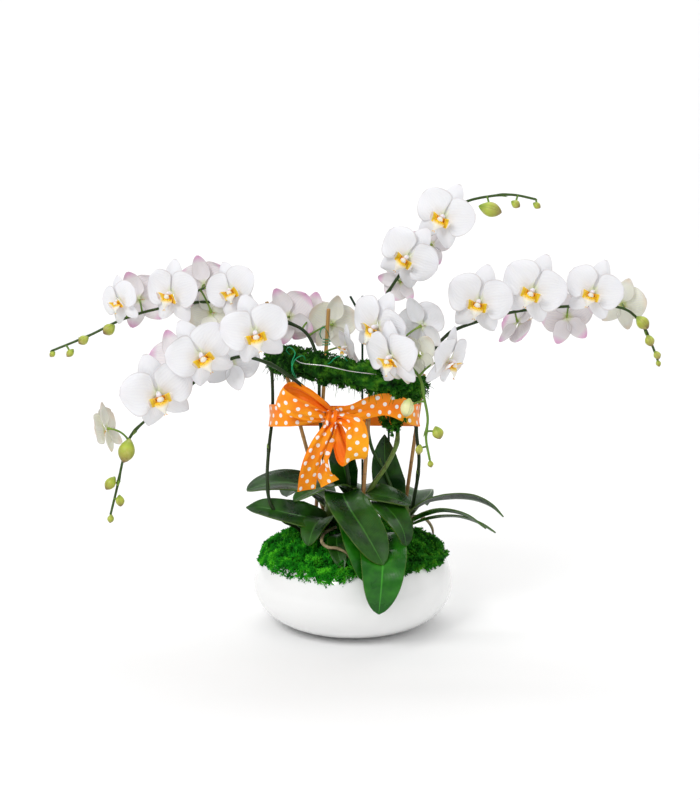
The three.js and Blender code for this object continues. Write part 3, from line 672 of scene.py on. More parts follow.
def metal_look():
    look = Look("tie_wire_grey", 0.35, Metallic=0.9)
    wear = look.noise(look.objects(), 300.0)
    look.color(look.mix(wear, (0.5, 0.5, 0.5), (0.8, 0.8, 0.78)))
    look.roughness(look.band(wear, 0.3, 0.7, 0.25, 0.5))
    look.bump(wear, 0.2, 0.0001)
    return look.material


RIBBON_DOT = 0.0028
DOT_PITCH = (0.0174, 0.020)
DOT_START = (0.0, 0.005)


def ribbon_look(name, warm, bright, dots=True):
    """Ribbed satin in a warm orange with soft random patches of painted sheen in a brighter orange, and
    staggered rows of white dots where its face is printed.
    """
    look = Look(name, 0.42, Sheen_Weight=0.05, Specular_IOR_Level=0.25)
    uv = look.uv()
    along, across = look.split(uv)[:2]
    # Painted sheen: noise lays the brighter orange over the warm one in broad patches.
    sheen_patches = look.noise(look.stretched(look.objects(), (1, 1, 1.6)), 16.0, 2.0)
    body = look.mix(look.band(sheen_patches, 0.35, 0.68), warm, bright)
    if dots:
        nearest = []
        for shift in (0.0, 0.5):
            sides = []
            for value, start, pitch in zip((along, across), DOT_START, DOT_PITCH):
                cell = look.math("ADD", look.math("DIVIDE", look.math("ADD", value, start), pitch), shift)
                centred = look.math("SUBTRACT", look.math("FRACT", cell), 0.5)
                sides.append(look.math("MULTIPLY", centred, pitch))
            square = look.math("ADD", look.math("POWER", sides[0], 2.0), look.math("POWER", sides[1], 2.0))
            nearest.append(look.math("SQRT", square))
        distance = look.math("MINIMUM", *nearest)
        dot = look.band(distance, RIBBON_DOT * 0.88, RIBBON_DOT * 1.08, 1.0, 0.0)
        body = look.mix(dot, body, (0.97, 0.95, 0.9))
    look.color(body)
    ribs = look.math("SINE", look.math("MULTIPLY", along, 2 * math.pi / 0.0011))
    look.bump(ribs, 0.35, 0.0003)
    return look.material


def root_look():
    look = Look("aerial_root", 0.6)
    shade = look.noise(look.objects(), 180.0)
    look.color(look.ramp(shade, (0.3, (0.13, 0.1, 0.04)), (0.6, (0.38, 0.3, 0.16)), (0.8, (0.6, 0.55, 0.38))))
    look.grain(420.0, 0.5, 0.0006)
    return look.material


def floor_look():
    look = Look("studio_floor", 0.75)
    look.color(look.mix(look.noise(look.objects(), 3.0), (0.94, 0.94, 0.94), (0.96, 0.96, 0.96)))
    return look.material


LOOKS = {
    "glaze": glaze_look(),
    "white": petal_look("petal_white", (0.85, 0.85, 0.87), (0.85, 0.84, 0.87), (0.72, 0.8, 0.45)),
    "blush": petal_look("petal_blush", (0.88, 0.83, 0.84), (0.8, 0.38, 0.64), (0.7, 0.76, 0.36), 0.35),
    "green": petal_look("petal_greenish", (0.88, 0.88, 0.75), (0.85, 0.74, 0.6), (0.55, 0.66, 0.14), 0.3),
    "lip": lip_look(),
    "lobe": lobe_look(),
    "column": petal_look("column_white", (0.94, 0.92, 0.95), (0.9, 0.8, 0.9), (0.85, 0.8, 0.6)),
    "stem": stem_look("stem_dark", (0.014, 0.035, 0.007), (0.05, 0.1, 0.018)),
    "stem_pale": stem_look("stem_pale", (0.16, 0.25, 0.05), (0.09, 0.15, 0.03)),
    "stem_green": stem_look("stem_green", (0.03, 0.085, 0.012), (0.16, 0.3, 0.04)),
    "stalk": stem_look("stalk_green", (0.13, 0.24, 0.03), (0.32, 0.46, 0.08)),
    "bud": bud_look("bud_green", (0.2, 0.33, 0.02), (0.46, 0.55, 0.06), (0.36, 0.36, 0.05),
                    (0.15, 0.05, 0.02)),
    "bud_pale": bud_look("bud_cream", (0.5, 0.62, 0.14), (0.82, 0.82, 0.46), (0.8, 0.8, 0.42),
                         (0.4, 0.36, 0.14)),
    "leaf": leaf_look("leaf_dark", (0.002, 0.026, 0.001), (0.02, 0.105, 0.004), 0.22),
    "leaf_bright": leaf_look("leaf_bright", (0.005, 0.095, 0.002), (0.025, 0.2, 0.006), 0.2),
    "moss": moss_look("moss_green", (0.12, 0.66, 0.02), (0.01, 0.27, 0.006), (0.001, 0.04, 0.001)),
    "hoop": moss_look("moss_hoop_green", (0.08, 0.26, 0.012), (0.008, 0.07, 0.003), (0.001, 0.01, 0.001),
                      75.0),
    "bark": bark_look(),
    "cane": cane_look(),
    "wire": plastic_look("green_coating", (0.006, 0.035, 0.012)),
    "raffia": plastic_look("raffia_green", (0.0, 0.33, 0.12)),
    "metal": metal_look(),
    "ribbon": ribbon_look("ribbon_dotted", (1.0, 0.21, 0.0), (1.0, 0.4, 0.0)),
    "ribbon_back": ribbon_look("ribbon_plain", (0.95, 0.17, 0.0), (1.0, 0.3, 0.0), False),
    "root": root_look(),
    "floor": floor_look(),
}


# ---------------------------------------------------------------- flowers


def flower_frame(row):
    """Where a flower is: its centre, the directions right, up and out of its face, and its span."""
    _, x, y, z, turn, nod, roll, size = row
    heading, lift, tilt = (math.radians(a) for a in (turn, nod, roll))
    out = np.array((math.sin(heading) * math.cos(lift), -math.cos(heading) * math.cos(lift), math.sin(lift)))
    upright = unit(np.array((0, 0, 1.0)) - out * out[2])
    level = np.cross(upright, out)
    right = level * math.cos(tilt) - upright * math.sin(tilt)
    up = upright * math.cos(tilt) + level * math.sin(tilt)
    return above_roots((x, y, z)), np.array((right, up, out)), FLOWER_SPAN * size


def tepal_grid(angle, length, width, depth, is_petal, rng):
    """A tepal in the flower's own directions: angle is clockwise from the top."""
    t, s, uv = blade(17, 13)
    if is_petal:
        claw = 0.2 + 0.8 * smoothstep(0.0, 0.24, t)
        half = width / 2 * claw * np.sin(math.pi * (0.03 + 0.955 * t) ** 0.84) ** 0.56
        bow = 0.08 * np.sin(math.pi * t) - 0.05 * t**2
        edge = 0.10 * np.sin(3.2 * s + 6 * t + rng.uniform(0, 6)) * s**2 - 0.10 * s**2 * t
    else:
        claw = 0.3 + 0.7 * smoothstep(0.0, 0.25, t)
        half = width / 2 * claw * np.sin(math.pi * (0.04 + 0.945 * t) ** 0.86) ** 0.66
        bow = 0.06 * np.sin(math.pi * t) - 0.12 * t**2.4
        edge = -0.30 * s**2 + 0.03 * np.sin(4 * t + rng.uniform(0, 6)) * s
    half = half * (1 + 0.03 * np.sin(7 * t + rng.uniform(0, 6)))
    crease = -0.035 * np.exp(-((s / 0.16) ** 2)) * (1 - t)
    along = CLAW_START + (length - CLAW_START) * t
    height = depth + length * bow + half * (edge + crease * 2)
    height = height + 0.012 * length * np.sin(3.1 * s + 6.3 * t + rng.uniform(0, 6)) * t
    turn = math.radians(angle + rng.uniform(-3, 3))
    x = along * math.sin(turn) + s * half * math.cos(turn)
    y = along * math.cos(turn) - s * half * math.sin(turn)
    return layers(x, y, height), uv


# Each tepal's angle, and its length and width as shares of the flower's span.
SEPALS = ((0, 0.53, 0.34), (146, 0.49, 0.32), (-146, 0.49, 0.32))
PETALS = ((68, 0.49, 0.6), (-68, 0.49, 0.6))
SEPAL_DEPTH, PETAL_DEPTH = -0.0045, -0.0015
CLAW_START = 0.002
TISSUE, LIP_TISSUE, LOBE_TISSUE = 0.0006, 0.0012, 0.0008
LIP_SHARE = 1.4


def lip_grid(span):
    """The lip's middle lobe: out of the throat, then down, swelling and ending in a narrow tip."""
    t, s, uv = blade(14, 9)
    reach = (0.04 + 0.085 * np.sin(np.minimum(2.1 * t, 1.8))) * span
    drop = (-0.02 - 0.14 * t**1.4) * span
    swell = 0.034 + 0.03 * np.exp(-(((t - 0.5) / 0.2) ** 2))
    half = span * swell * (1 - 0.85 * smoothstep(0.66, 1.0, t))
    return layers(s * half, drop, reach - 0.7 * half * s**2), uv


def side_lobe_grid(span, sign):
    """A side lobe of the lip: a rounded wing that opens sideways and turns up at its end."""
    t, s, uv = blade(10, 9)
    half = span * 0.066 * np.sin(math.pi * (0.14 + 0.82 * t)) ** 0.5
    curl = 1.7 * t
    x = sign * (0.012 + 0.104 * np.sin(curl)) * span
    y = (-0.05 + 0.03 * (1 - np.cos(curl))) * span + 0.85 * s * half
    out = (0.045 + 0.06 * t**1.5) * span + 0.5 * s * half - 0.35 * half * (1 - s**2)
    return layers(x, y, out), uv


# Lines in the flower's own directions. The whisker and the callus are shares of the lip's size, which is the
# span times LIP_SHARE, and the column is shares of the span.
WHISKER = ((0.002, -0.155, 0.12), (0.016, -0.177, 0.122), (0.024, -0.163, 0.135))
CALLUS = ((0, -0.035, 0.05), (0, -0.03, 0.08), (0, -0.045, 0.095))
COLUMN = ((0, 0, -0.06), (0, 0.005, 0.0), (0, 0.012, 0.05), (0, 0.008, 0.085), (0, -0.004, 0.1))


def flower(row, *nodes):
    """A bloom of five pieces, in the place of the part's bloom where it has one."""
    centre, directions, span = flower_frame(row)
    lip_span = span * LIP_SHARE
    name = f"flower_{row[0]}"
    rng = np.random.default_rng(sum(map(ord, name)))

    def world(grid):
        return grid @ directions + centre

    def finish(shells, part, look, *nodes):
        place(shells.build(f"{name}_{part}", LOOKS[look]), "petal", *nodes)

    tint = LOOK_OF.get(row[0], "white")
    whorls = (("sepals", SEPALS, SEPAL_DEPTH, nodes), ("petals", PETALS, PETAL_DEPTH, ()))
    for part, rows, depth, replaced in whorls:
        tepals = Shells()
        for angle, length, width in rows:
            grid, uv = tepal_grid(angle, length * span, width * span, depth, part == "petals", rng)
            tepals.sheet(world(grid), TISSUE, uv)
        finish(tepals, part, tint, *replaced)

    lip = Shells()
    grid, uv = lip_grid(lip_span)
    lip.sheet(world(grid), LIP_TISSUE, uv)
    for sign in (-1, 1):
        whisker = np.array(WHISKER) * (sign, 1, 1) * lip_span
        lip.tube(world(resample(whisker, 7)), np.linspace(0.0006, 0.0003, 7), 5)
    swell = np.array((0.2, 0.9, 1.0, 1.0, 0.8, 0.2)) * 0.034
    lip.tube(world(resample(np.array(CALLUS) * lip_span, 6)), swell * lip_span, 8)
    finish(lip, "lip", "lip")

    lobes = Shells()
    for sign in (-1, 1):
        grid, uv = side_lobe_grid(lip_span, sign)
        lobes.sheet(world(grid), LOBE_TISSUE, uv)
    finish(lobes, "side_lobes", "lobe")

    column = Shells()
    swell = np.interp(np.linspace(0, 1, 10), (0, 0.25, 0.6, 0.85, 1), (0.028, 0.03, 0.03, 0.038, 0.018))
    column.tube(world(resample(np.array(COLUMN) * span, 10)), swell * span, 10)
    finish(column, "column", "column")


BLUSHING = ("a4", "a5", "f1", "f2", "b5", "c3", "c4", "d4", "d5")
GREENISH = ("a6", "b4", "d6", "e4", "e6", "f3")
LOOK_OF = {**dict.fromkeys(BLUSHING, "blush"), **dict.fromkeys(GREENISH, "green")}


def flowers():
    for row in SPIKES.values():
        for blossom in row["flowers"]:
            flower(blossom, f"flower_{blossom[0]}")
        for blossom in row["extra"]:
            flower(blossom)


# ---------------------------------------------------------------- stems, stalks and buds


def nearest_index(line, target):
    return int(np.argmin(np.linalg.norm(line - target, axis=1)))


def stalk(shells, line, end, outward):
    """A flower or bud stalk: out of the stem along a gentle curve, unless its end is on the stem."""
    start = line[nearest_index(line, end)]
    reach = np.linalg.norm(end - start)
    if reach < 0.003:
        return
    middle = (start + end) / 2 + outward * min(0.006, 0.18 * reach)
    t = np.linspace(0, 1, 12)[:, None]
    path = (1 - t) ** 2 * start + 2 * t * (1 - t) * middle + t**2 * end
    radii = np.interp(t[:, 0], (0, 0.12, 0.8, 1), (0.0021, 0.0014, 0.0013, 0.0021))
    shells.tube(path, radii, 7)


def bract(shells, line, index, rng):
    """A small pointed scale that clasps the stem at a node."""
    point = line[index]
    along = unit(line[min(index + 2, len(line) - 1)] - line[max(index - 2, 0)])
    side = unit(np.cross(along, rng.normal(size=3)))
    out = np.cross(side, along)
    t, s, uv = blade(6, 5)
    half = 0.0026 * (1 - t**1.6) + 0.0001
    lift = STEM_RADIUS * 0.95 + 0.0012 * t - 0.35 * half * s**2
    grid = point + layers(0.007 * t, s * half, lift) @ np.array((along, side, out))
    shells.sheet(grid, 0.0005, uv)


def bud(name, line, row):
    """A bud: a plump drop with three seams and a blunt point, on the line away from its stem."""
    centre = above_roots(row[:3])
    width, length = row[3] * MM, row[4] * MM
    near = nearest_index(line, centre)
    onward = unit(line[min(near + 3, len(line) - 1)] - line[max(near - 3, 0)])
    away = unit(unit(centre - line[near]) * 0.5 + onward)
    t = np.linspace(0, 1, 15)
    profile = np.sin(math.pi * np.clip(0.02 + 0.97 * t, 0, 1) ** 1.12) ** 0.72
    path = centre + np.outer((t - 0.5) * length, away)
    shells = Shells()
    shells.tube(path, np.maximum(profile, 0.03) * width / 2, 18)
    return shells.build(name, LOOKS["bud_pale" if name == "spike_front_bud_1" else "bud"])


PALE_TOP = 0.232


def spike(name, row):
    fine = resample(spline(row["route"]), 170)
    rng = np.random.default_rng(len(name))
    swell = np.zeros(len(fine))
    nodes = [int(i) for i in np.linspace(24, len(fine) - 12, 9)]
    for index in nodes:
        swell += 0.0006 * np.exp(-(((np.arange(len(fine)) - index) / 1.4) ** 2))
    radii = np.interp(np.linspace(0, 1, len(fine)), (0, 0.6, 1), (1.1, 0.95, 0.68)) * STEM_RADIUS + swell
    if name == "spike_upper_right":
        low = int(np.argmax(fine[:, 2] > ROOTS + PALE_TOP))
        radii[:low] *= np.interp(np.arange(low), (0, 0.8 * low, low), (1.35, 1.25, 1.0))
        foot = Shells()
        foot.tube(fine[:low], radii[:low] + 0.00005, 14)
        place(foot.build(f"{name}_foot", LOOKS["stem_pale"]), "stem")
    stem = Shells()
    stem.tube(fine, radii, 12)
    look = "stem_green" if name == "spike_front" else "stem"
    place(stem.build(f"{name}_stem", LOOKS[look]), "stem", name)
    bracts = Shells()
    for index in nodes:
        bract(bracts, fine, index, rng)
    place(bracts.build(f"{name}_bracts", LOOKS["stalk"]), "stem")
    stalks = Shells()
    for blossom in row["flowers"] + row["extra"]:
        centre, directions, _ = flower_frame(blossom)
        stalk(stalks, fine, centre + directions[2] * SEPAL_DEPTH, np.array((0, 0, 1.0)) - directions[2])
    for bud_row in row["buds"]:
        stalk(stalks, fine, above_roots(bud_row[:3]), np.array((0, 0, 1.0)))
    place(stalks.build(f"{name}_stalks", LOOKS["stalk"]), "stem")
    for index, bud_row in enumerate(row["buds"]):
        place(bud(f"{name}_bud_{index + 1}", fine, bud_row), "stem")


# ---------------------------------------------------------------- leaves and crowns


LEAF_THICKNESS = 0.0018
NARROW = ("leaf_left_2", "leaf_right_1", "leaf_right_2", "leaf_right_3", "leaf_right_4")


def leaf(name, route, width, tilt):
    """A thick strap leaf: grooved along its midrib, with a blunt tip and slow waves in its margin."""
    rng = np.random.default_rng(sum(map(ord, name)))
    rows, cols = 44, 15
    spine = resample(spline(route), rows)
    ends = spine[-1] - spine[0]
    upright = ends[2] > math.hypot(ends[0], ends[1])
    flat = np.array((1.0, 0, 0)) if upright else unit(np.cross(ends, (0, 0, 1.0)))
    axis = unit(ends)
    angle = math.radians(tilt)
    side = flat * math.cos(angle) + np.cross(axis, flat) * math.sin(angle)
    t = np.linspace(0, 1, rows)
    narrow = name in NARROW
    tip = np.maximum(0.0, 1 - t ** (3.2 if narrow else 4.6)) ** (0.85 if narrow else 0.62)
    half = width * MM / 2 * np.minimum(1, 0.4 + 1.6 * t) * tip
    half = np.maximum(half * (1 + 0.02 * np.sin(9 * t + rng.uniform(0, 6))), 0.0008)
    s = np.linspace(-1, 1, cols)
    grid = np.zeros((rows, cols, 3))
    phase = rng.uniform(0, 6)
    for i, (point, tangent) in enumerate(zip(spine, tangents(spine))):
        right = unit(side - tangent * side.dot(tangent))
        normal = np.cross(right, tangent)
        fold = 0.3 * np.abs(s) ** 1.3 - 0.10 * s**4
        wave = 0.05 * np.sin(8 * t[i] + 2 * s + phase) * s**2
        grid[i] = point + np.outer(s * half[i], right) + np.outer((fold + wave) * half[i], normal)
    uv = np.stack(np.meshgrid((s + 1) / 2, t), axis=2)
    shells = Shells()
    shells.sheet(grid, LEAF_THICKNESS, uv)
    look = "leaf_bright" if name in ("leaf_middle_6", "leaf_middle_5") else "leaf"
    return shells.build(f"{name}_blade", LOOKS[look])


CROWNS = {"crown_left": (-31, -4, 98), "crown_middle": (1, -11, 113), "crown_right": (72, 4, 84)}


def crown(name, x, y, top):
    """A short stem wrapped in the sheaths of old leaf bases."""
    shells = Shells()
    heights = np.linspace(-30, top + 2, 40)
    line = np.array([above_roots((x, y, z)) for z in heights])
    sheath = np.abs(((heights + 30) / 16) % 1 - 0.5)
    taper = np.interp(heights, (-30, top - 6, top + 2), (1, 0.9, 0.5))
    shells.tube(line, (0.0105 + 0.002 * sheath) * taper, 20, 0.8)
    return shells.build(f"{name}_sheaths", LOOKS["stem_pale"])


# ---------------------------------------------------------------- bowl, bark and moss

BOWL = {
    "width": 0.278, "height": 0.103, "foot": 0.124, "mouth": 0.248,
    "wall": 0.005, "floor": 0.006, "belly": 0.058,
}


def bowl_radius(z):
    """The outer radius at a height: a round belly that draws in to the mouth."""
    half, belly = BOWL["width"] / 2, BOWL["belly"]
    if z < belly:
        return BOWL["foot"] / 2 + (half - BOWL["foot"] / 2) * math.sin(math.acos(1 - z / belly))
    return half - (half - BOWL["mouth"] / 2) * ((z - belly) / (BOWL["height"] - belly)) ** 2


def bowl():
    height, wall, belly, foot = BOWL["height"], BOWL["wall"], BOWL["belly"], BOWL["foot"] / 2
    profile = [(0, 0.0015), (foot - 0.006, 0.0015), (foot - 0.004, 0.0), (foot - 0.001, 0.0)]
    heights = list(belly * (1 - np.cos(np.linspace(0.05, 1, 26) * math.pi / 2)))
    heights += list(np.linspace(belly, height - wall / 2, 22)[1:])
    profile += [(bowl_radius(z), z) for z in heights]
    middle, round_over = bowl_radius(height) - wall / 2, np.linspace(0.3, math.pi - 0.3, 9)
    profile += [(middle + wall / 2 * math.cos(a), height - wall / 2 * (1 - math.sin(a))) for a in round_over]
    profile += [(bowl_radius(z) - wall, z) for z in np.linspace(height - wall / 2, BOWL["floor"] + 0.004, 30)]
    profile += [(0, BOWL["floor"])]
    verts, faces = lathe(profile, 160)
    place(make_object("bowl_glazed", verts, faces, LOOKS["glaze"]), "porcelain", "bowl")


BARK_CHIPS = 260


def bark():
    """Chips of bark over a dark mound of it, filling the bowl."""
    rng = np.random.default_rng(5)
    low, level = BOWL["floor"] + 0.002, SOIL - 0.003
    profile = [(bowl_radius(z) - BOWL["wall"] - 0.0012, z) for z in np.linspace(low, level, 12)]
    profile = [(0, low), *profile, (0, level)]
    verts, faces = lathe(profile, 48)
    place(make_object("bark_bed", verts, faces, LOOKS["bark"]), "bark", "bark_medium")
    shells = Shells()
    for _ in range(BARK_CHIPS):
        radius = 0.112 * math.sqrt(rng.uniform(0, 1))
        angle = rng.uniform(0, 2 * math.pi)
        depth = rng.uniform(0.001, 0.005)
        centre = np.array((radius * math.cos(angle), radius * math.sin(angle), SOIL - depth))
        heading = unit(np.array((rng.normal(), rng.normal(), rng.normal() * 0.25)))
        length, breadth = rng.uniform(0.005, 0.012), rng.uniform(0.0025, 0.006)
        shells.tube(centre + np.outer(np.linspace(-1, 1, 5) * length / 2, heading),
                    np.array((0.55, 0.9, 1.0, 0.85, 0.5)) * breadth, 6, rng.uniform(0.35, 0.7))
    place(shells.build("bark_chips", LOOKS["bark"]), "bark")


# ---------------------------------------------------------------- moss


BRANCHES = 7


def tuft_template(rng):
    """A sprig of reindeer moss: short stalks that fork into blunt little fingers."""
    shells = Shells()
    for _ in range(BRANCHES):
        aim = unit(np.array((rng.normal(), rng.normal(), rng.uniform(0.5, 2.0))))
        bend = unit(rng.normal(size=3)) * 0.35
        t = np.linspace(0, 1, 4)[:, None]
        stalk = aim * t + bend * t**2
        shells.tube(stalk, (0.13, 0.12, 0.11, 0.08), 4)
        for _ in range(2):
            fork = unit(aim + rng.normal(size=3) * 0.9) * 0.5
            start = stalk[2]
            shells.tube(start + np.linspace(0, 1, 3)[:, None] * fork, (0.1, 0.1, 0.06), 4)
    return np.vstack(shells.verts), shells.faces


def scatter(name, look, slot, tufts, seed):
    """Puts a turned and scaled sprig of moss at each tuft's spot, growing along its out direction."""
    rng = np.random.default_rng(seed)
    templates = [tuft_template(rng) for _ in range(6)]
    verts, faces, count = [], [], 0
    for spot, size, out in tufts:
        shape, shape_faces = templates[rng.integers(6)]
        z_axis = unit(out + rng.normal(size=3) * 0.25)
        x_axis = unit(np.cross(z_axis, rng.normal(size=3)))
        verts.append(shape @ np.array((x_axis, np.cross(z_axis, x_axis), z_axis)) * size + spot)
        faces.extend(tuple(i + count for i in face) for face in shape_faces)
        count += len(shape)
    place(make_object(name, np.vstack(verts), faces, LOOKS[look]), slot)


def scatter_halves(name, look, slot, tufts, seed):
    """Scatters the tufts as two objects of half the size."""
    half = len(tufts) // 2
    scatter(f"{name}_1", look, slot, tufts[:half], seed)
    scatter(f"{name}_2", look, slot, tufts[half:], seed + 1)


MOUND = 0.044
REACH = BOWL["mouth"] / 2 - BOWL["wall"] - 0.002


CUSHION_COUNT = 120
GOLDEN_ANGLE = 2.39996


def cushion_places():
    """Centres and radii of the moss's cushions, spread evenly but not in rows."""
    places = []
    for i in range(CUSHION_COUNT):
        radius = REACH * math.sqrt((i + 0.5) / CUSHION_COUNT)
        angle = i * GOLDEN_ANGLE + 0.35 * math.sin(5 * i)
        places.append((radius * math.cos(angle), radius * math.sin(angle), 0.0135 + 0.0035 * math.sin(7 * i)))
    return np.array(places)


CUSHIONS = cushion_places()


def mound_height(x, y):
    """Height of the moss over the soil level: a dome of cushions that meets the bowl's rim."""
    radius = math.hypot(x, y) / (BOWL["mouth"] / 2 - BOWL["wall"])
    angle = math.atan2(y, x)
    dome = 0.84 * MOUND * (1 - min(1.0, radius) ** 2.6) + 0.008
    lump = 1 + 0.16 * math.sin(3 * angle + 2) * radius + 0.1 * math.sin(7 * angle) * radius
    near = (CUSHIONS[:, 0] - x) ** 2 + (CUSHIONS[:, 1] - y) ** 2
    cushion = np.sqrt(np.maximum(0.0, 1 - near / CUSHIONS[:, 2] ** 2)).max()
    return dome * lump * 0.86 + 0.0135 * cushion - 0.0065


BED_DROP = 0.004
MAT_TUFTS = 1700
# From one angle to another: how many tufts, and how far down they spill over the rim.
RIM_TUFTS = ((172, 268, 420, 0.0085), (268, 300, 60, 0.002), (300, 350, 140, 0.004), (-10, 172, 200, 0.003))


def moss_bed():
    """The mound under the tufts: rings from the rim up and in to the top, closed below."""
    rings, around = 56, 200
    angles = [2 * math.pi * j / around for j in range(around)]
    verts = [(REACH * math.cos(a), REACH * math.sin(a), SOIL + 0.001) for a in angles]
    for radius in np.linspace(REACH, 0, rings, endpoint=False):
        for angle in angles:
            x, y = radius * math.cos(angle), radius * math.sin(angle)
            grain = 0.0008 * math.sin(610 * x) * math.sin(580 * y + 1)
            verts.append((x, y, SOIL + mound_height(x, y) - BED_DROP + grain))
    verts += [(0, 0, SOIL + 0.001), (0, 0, SOIL + mound_height(0, 0) - BED_DROP)]
    bed = make_object("moss_mat_bed", verts, ring_faces(rings + 1, around), LOOKS["moss"])
    place(bed, "moss", "moss_mat")


def moss_mat():
    moss_bed()
    rng = np.random.default_rng(11)
    tufts = []
    for _ in range(MAT_TUFTS):
        radius = REACH * math.sqrt(rng.uniform(0.03, 1.0))
        angle = rng.uniform(0, 2 * math.pi)
        x, y = radius * math.cos(angle), radius * math.sin(angle)
        spot = (x, y, SOIL + mound_height(x, y) - BED_DROP - 0.0005)
        tufts.append((spot, rng.uniform(0.0046, 0.0092), unit(np.array((x / REACH, y / REACH, 1.3)))))
    scatter_halves("moss_mat_tufts", "moss", "moss", tufts, 21)
    tufts = []
    for low, high, count, spill in RIM_TUFTS:
        for _ in range(count):
            angle = math.radians(rng.uniform(low, high))
            drop = rng.uniform(0, 1) ** 1.6
            radius = BOWL["mouth"] / 2 - 0.004 + 0.007 * drop
            z = BOWL["height"] + 0.003 - spill * drop * 1.6
            spot = (radius * math.cos(angle), radius * math.sin(angle), z)
            out = np.array((math.cos(angle), math.sin(angle), 0.9 - drop))
            tufts.append((spot, rng.uniform(0.004, 0.0075), out))
    scatter("moss_rim_tufts", "moss", "moss", tufts, 23)


HOOP = {"half_x": 0.092, "half_y": 0.089, "tube": 0.020, "height": 0.273, "x": -0.010}


def hoop_point(angle, around, out):
    """A point of the tilted hoop: angle runs round the ring, around runs round its tube."""
    lump = 1 + 0.07 * math.sin(5 * angle + 1) + 0.05 * math.sin(9 * angle)
    tube = out * lump
    side = math.cos(around) * tube
    x = math.cos(angle) * (HOOP["half_x"] + side) + HOOP["x"]
    y = math.sin(angle) * (HOOP["half_y"] + side)
    return np.array((x, y, ROOTS + HOOP["height"] - 0.2 * x - 0.15 * y + math.sin(around) * tube))


def hoop_out(angle, around):
    return unit(hoop_point(angle, around, HOOP["tube"]) - hoop_point(angle, around, 0.5 * HOOP["tube"]))


HOOP_TUFTS, HANGING_TUFTS, HOOP_STRANDS = 1500, 240, 420


def hoop_core():
    rows, cols = 96, 20
    verts, faces = [], []
    for i in range(rows):
        angle = 2 * math.pi * i / rows
        for j in range(cols):
            around = 2 * math.pi * j / cols
            rough = 0.72 + 0.09 * math.sin(2 * around + 11 * angle) + 0.08 * math.sin(17 * angle + 3 * around)
            verts.append(hoop_point(angle, around, HOOP["tube"] * rough))
            k, m = (i + 1) % rows, (j + 1) % cols
            faces.append((i * cols + j, k * cols + j, k * cols + m, i * cols + m))
    place(make_object("moss_hoop_core", verts, faces, LOOKS["hoop"]), "hoop_moss", "moss_hoop")


def moss_hoop():
    """A hoop of packed moss, with a lump that hangs from it at the front and loose strands all round."""
    hoop_core()
    rng = np.random.default_rng(17)
    tufts = []
    for _ in range(HOOP_TUFTS):
        angle, around = rng.uniform(0, 2 * math.pi, 2)
        clump = 0.66 + 0.16 * math.sin(11 * angle + 2 * around) + 0.1 * math.sin(7 * around + 5 * angle)
        spot = hoop_point(angle, around, HOOP["tube"] * clump)
        tufts.append((spot, rng.uniform(0.0038, 0.0076), hoop_out(angle, around)))
    for _ in range(HANGING_TUFTS):
        share = rng.uniform(0, 1)
        fall = rng.uniform(0, 1) ** 1.3
        x, y = 0.036 + 0.034 * share, -0.05 + 0.006 * rng.normal()
        spot = (x, y, ROOTS + 0.262 - 0.062 * fall * (0.55 + 0.45 * math.sin(3 * share)))
        tufts.append((spot, rng.uniform(0.004, 0.0075), unit(np.array((0, -0.6, -0.8)))))
    scatter_halves("moss_hoop_tufts", "hoop", "hoop_moss", tufts, 31)
    strands = Shells()
    for _ in range(HOOP_STRANDS):
        angle = rng.uniform(0, 2 * math.pi)
        around = rng.uniform(-2.6, 1.8)
        start = hoop_point(angle, around, HOOP["tube"] * 0.8)
        aim = unit(hoop_out(angle, around) + rng.normal(size=3) * 0.7)
        t = np.linspace(0, 1, 6)[:, None]
        reach = rng.uniform(0.005, 0.012)
        strand = start + reach * (aim * t + np.array((0, 0, -0.7)) * t**2 + rng.normal(size=3) * 0.25 * t**2)
        strands.tube(strand, np.linspace(0.0005, 0.00022, 6), 4)
    place(strands.build("moss_hoop_strands", LOOKS["hoop"]), "hoop_moss")


# ---------------------------------------------------------------- stakes


def canes():
    for name, (foot, top) in CANES.items():
        line = resample(np.array([above_roots(foot), above_roots(top)]), 160)
        height = line[:, 2]
        joint = np.abs(((height - SOIL) / 0.074 + 0.3) % 1 - 0.5)
        radii = 0.0027 + 0.00035 * np.exp(-((joint / 0.02) ** 2))
        radii[0] = radii[-1] = 0.0024
        shells = Shells()
        shells.tube(line, radii, 14)
        place(shells.build(f"{name}_cane", LOOKS["cane"]), "bamboo", name)


def wires():
    for name, route in WIRES.items():
        line = resample(spline(route), 120)
        shells = Shells()
        shells.tube(line, np.full(len(line), 0.0016), 10)
        place(shells.build(f"{name}_rod", LOOKS["wire"]), "green_wire", name)


# ---------------------------------------------------------------- ribbon

RIBBON = {
    "width": 0.030, "thickness": 0.0006, "x": -0.012, "half_x": 0.1035, "half_y": 0.078, "height": 0.2145,
}
# How the band falls to the back, how high it arches on the right and how square it is (1 is an ellipse).
FALL = 0.19
ARCH = 0.015
TAUT = 0.62
KNOT = (-28, -86, 229)
SPAN_STEPS = 24


def pleat_depth(width, share, s, shape):
    """How deep the pleats are when the ribbon's whole width is gathered into a share of it."""
    low, high = 0.0, width
    for _ in range(24):
        middle = (low + high) / 2
        arc = np.hypot(np.diff(s) * width * share, np.diff(shape) * middle).sum()
        low, high = (middle, high) if arc < width else (low, middle)
    return low


